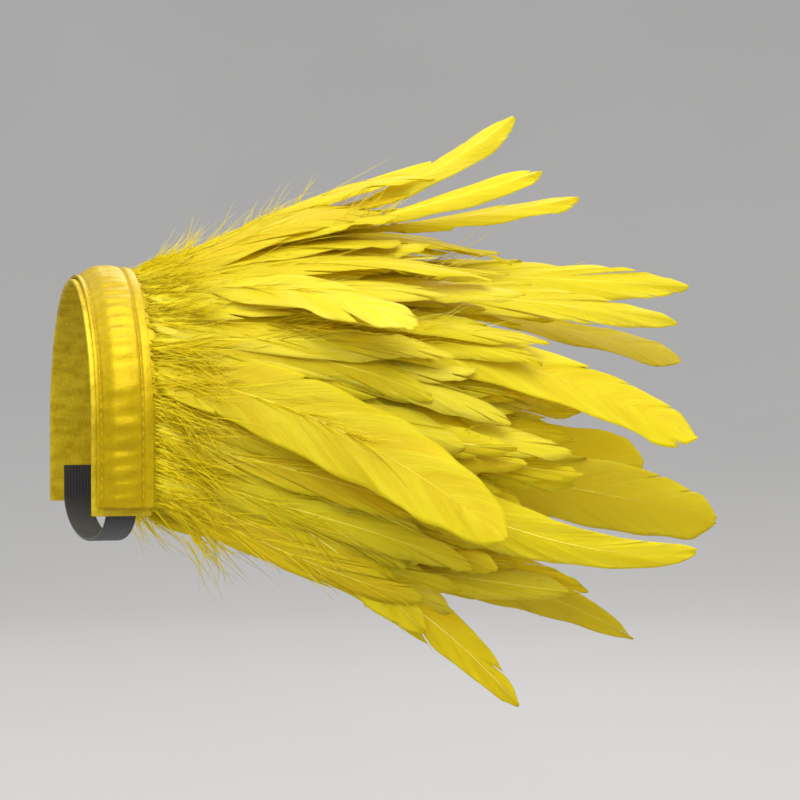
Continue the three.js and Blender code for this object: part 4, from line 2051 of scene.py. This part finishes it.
@dataclass
class Studio:
    """Round backdrop, lamps and camera, in metres."""

    floor: float = -0.26
    floor_radius: float = 1.6
    sweep: float = 1.6
    sweep_points: int = 13
    wall: float = 0.5
    turn_steps: int = 96
    camera_place: tuple[float, float, float] = (-0.138, -0.95, -0.027)
    camera_aim: tuple[float, float, float] = (0.108, 0.0, -0.041)
    picture_width: float = 0.285
    sensor: float = 36.0
    sky: Colour = (0.8, 0.82, 0.85, 1.0)
    sky_strength: float = 1.3
    lamps: tuple[Softbox, ...] = (
        Softbox("key_over", (0.12, -0.6, 1.4), size=1.6, power=25.0),
        Softbox("fill_front", (-0.5, -1.4, 0.9), size=1.4, power=10.0),
        Softbox("rim_back", (0.7, 1.3, 1.0), size=1.0, power=8.0),
    )

    def build(self) -> None:
        """Sets up the backdrop, the light and the camera."""
        self.build_backdrop()
        self.build_light()
        self.build_camera()

    def build_backdrop(self) -> None:
        """Turns a floor, a sweep and a wall about the vertical."""
        bm = bmesh.new()
        profile = [(0.0, self.floor)]
        for angle in np.linspace(-math.pi / 2.0, 0.0, self.sweep_points):
            profile.append((
                self.floor_radius + self.sweep * math.cos(angle),
                self.floor + self.sweep * (1.0 + math.sin(angle)),
            ))
        profile.append((self.floor_radius + self.sweep, self.floor + self.sweep + self.wall))
        verts = [bm.verts.new((x, 0.0, z)) for x, z in profile]
        edges = [bm.edges.new(pair) for pair in zip(verts, verts[1:])]
        bmesh.ops.spin(
            bm,
            geom=verts + edges,
            cent=(0.0, 0.0, 0.0),
            axis=(0.0, 0.0, 1.0),
            angle=2.0 * math.pi,
            steps=self.turn_steps,
            use_merge=True,
        )
        bmesh.ops.remove_doubles(bm, verts=bm.verts, dist=1e-5)
        bmesh.ops.recalc_face_normals(bm, faces=bm.faces)
        backdrop = mesh_object(bm, "backdrop", StageFinish().material())
        bpy.context.scene.collection.objects.link(backdrop)

    def build_light(self) -> None:
        """Hangs the lamps and fills the room with soft light."""
        for lamp in self.lamps:
            lamp.build(self.camera_aim)
        world = bpy.data.worlds.new("studio_air")
        world.use_nodes = True
        background = world.node_tree.nodes["Background"]
        background.inputs["Color"].default_value = self.sky
        background.inputs["Strength"].default_value = self.sky_strength
        bpy.context.scene.world = world

    def build_camera(self) -> None:
        """Puts the camera at the picture's viewpoint, turned to the piece and zoomed in on it."""
        data = bpy.data.cameras.new("camera")
        place, aim = Vector(self.camera_place), Vector(self.camera_aim)
        data.sensor_width = self.sensor
        data.lens = self.sensor * (aim - place).length / self.picture_width
        camera = bpy.data.objects.new("camera", data)
        camera.location = place
        camera.rotation_euler = (aim - place).to_track_quat("-Z", "Y").to_euler()
        bpy.context.scene.collection.objects.link(camera)
        bpy.context.scene.camera = camera
        bpy.context.scene.view_settings.view_transform = "Standard"


CREST_BARBS = Loose(38, stand=0.6, length=(8.0, 20.0))
SPRAY_BARBS = Loose(46, stand=0.3, crown=0.85, aside=0.65, span=(0.2, 0.5), length=(16.0, 34.0))
CREST: dict[str, object] = {"splits": 0, "loose": CREST_BARBS, "tip": Tip.STRAP, "camber": 0.4}
FRAYED: dict[str, object] = {"splits": 3, "loose": SPRAY_BARBS, "tip": Tip.LANCE}

# Long feathers, each with its root, out, front, up, flick, width, turn and tone
OUTER_LEADS = [
    Feather(-8, 126, -25, 46, -6, 11, 30, Tone.LEMON, **CREST),
    Feather(0, 178, -10, 33, 7, 11, 40, Tone.LEMON, **CREST),
    Feather(6, 148, 8, 60, 14, 11, 50, Tone.PALE, **CREST),
    Feather(14, 154, 22, 40, 4, 11, 40, Tone.LEMON, **CREST),
    Feather(30, 92, 82, -16, -6, 21, 0, Tone.PALE, splits=2, silk=1.8),
    Feather(44, 197, 62, -53, -8, 21, 6, Tone.LEMON, splits=0, loose=SPRAY_BARBS),
    Feather(62, 119, 95, -85, -4, 27, 0, Tone.GOLD, splits=0, tip=Tip.LANCE, silk=1.7),
    Feather(70, 191, 78, -91, 27, 20, 12, Tone.LEMON, splits=0, tip=Tip.HOOK, silk=1.4),
    Feather(88, 98, 72, -117, -6, 18, 0, Tone.LEMON, splits=2, quill=0.5, tip=Tip.LANCE, silk=1.4),
    Feather(97, 132, 67, -143, -16, 17, -8, Tone.GOLD, splits=1, quill=0.9, tip=Tip.LANCE),
]
INNER_LEADS = [
    # painted shade: this feather takes the SHADE tone, a deep olive cast for lying in shade
    Feather(-14, 221, -18, -27, -4, 19, 60, Tone.SHADE, splits=0),
    Feather(8, 215, 6, 0, 0, 19, 55, Tone.PALE, **FRAYED, silk=2.2),
    Feather(24, 202, 30, -14, -6, 16, 40, Tone.PALE, **FRAYED, silk=2.0),
    # painted shade: the olive tones on these feathers stand in for shade and backdrop seen through them
    Feather(72, 222, 15, -85, -8, 26, 6, Tone.OLIVE_SHADE, splits=0, silk=1.4),
    Feather(88, 172, 12, -117, -6, 20, 0, Tone.PALE, splits=1, tip=Tip.LANCE, silk=1.4),
    Feather(98, 194, 6, -128, -18, 16, 10, Tone.OLIVE_SHADE, splits=1, tip=Tip.LANCE),
]

# Shorter feathers and tufts, each with its count, length, rise, width, spread and sag
OUTER_SPREADS = [
    Spread(24, 112, 23, 19, 0.18, 0.14, feathers=2, tuck=0.22),
    Spread(20, 98, 20, 18, 0.22, 0.12, feathers=2, tuck=0.18, shift=0.4),
    Spread(18, 122, 13, 18, 0.15, 0.13, feathers=2, tuck=0.08, shift=0.2),
    Spread(18, 31, 24, 13, 0.85, 0.0, fibres=34),
    Spread(14, 27, 14, 13, 1.5, 0.0, fibres=70),
]
INNER_SPREADS = [
    Spread(20, 132, 5, 18, 0.11, 0.14, feathers=2),
    Spread(20, 112, 9, 18, 0.15, 0.12, feathers=2, shift=0.4),
]


def main() -> None:
    """Builds the studio and the shoulder piece."""
    logging.basicConfig(level=logging.INFO, format="%(message)s")
    backing_thickness, backing_tab = 1.2, 3.0
    Studio().build()
    arch = Arch.from_frame(backing_thickness, backing_tab)
    satin = SatinFinish("satin_face").material()
    band = Band(arch, backing_thickness, backing_tab)
    # painted light: the backing's satin is paler than the facing's, so its tab under the facing's end
    # shows bright as if catching the light
    band.build_backing(SatinFinish("satin_lining", light=(0.82, 0.64, 0.03, 1.0)).material())
    vane, quill, down = VaneFinish().material(), QuillFinish().material(), DownFinish().material()
    finishes = FeatherFinishes(vane, quill, down, satin)
    inner = TrimRow(
        "inner",
        arch,
        tape_low=1.5,
        tape_high=2.5,
        rise=4.0,
        seed=11,
        leads=INNER_LEADS,
        spreads=INNER_SPREADS,
    )
    outer = TrimRow(
        "outer",
        arch,
        tape_low=2.9,
        tape_high=3.85,
        rise=17.0,
        seed=3,
        leads=OUTER_LEADS,
        spreads=OUTER_SPREADS,
    )
    inner.build(finishes)
    outer.build(finishes)
    band.build_facing(satin)
    band.build_stitches(ThreadFinish().material())
    UnderarmElastic(arch).build(ElasticFinish().material())


if __name__ == "__main__":
    main()
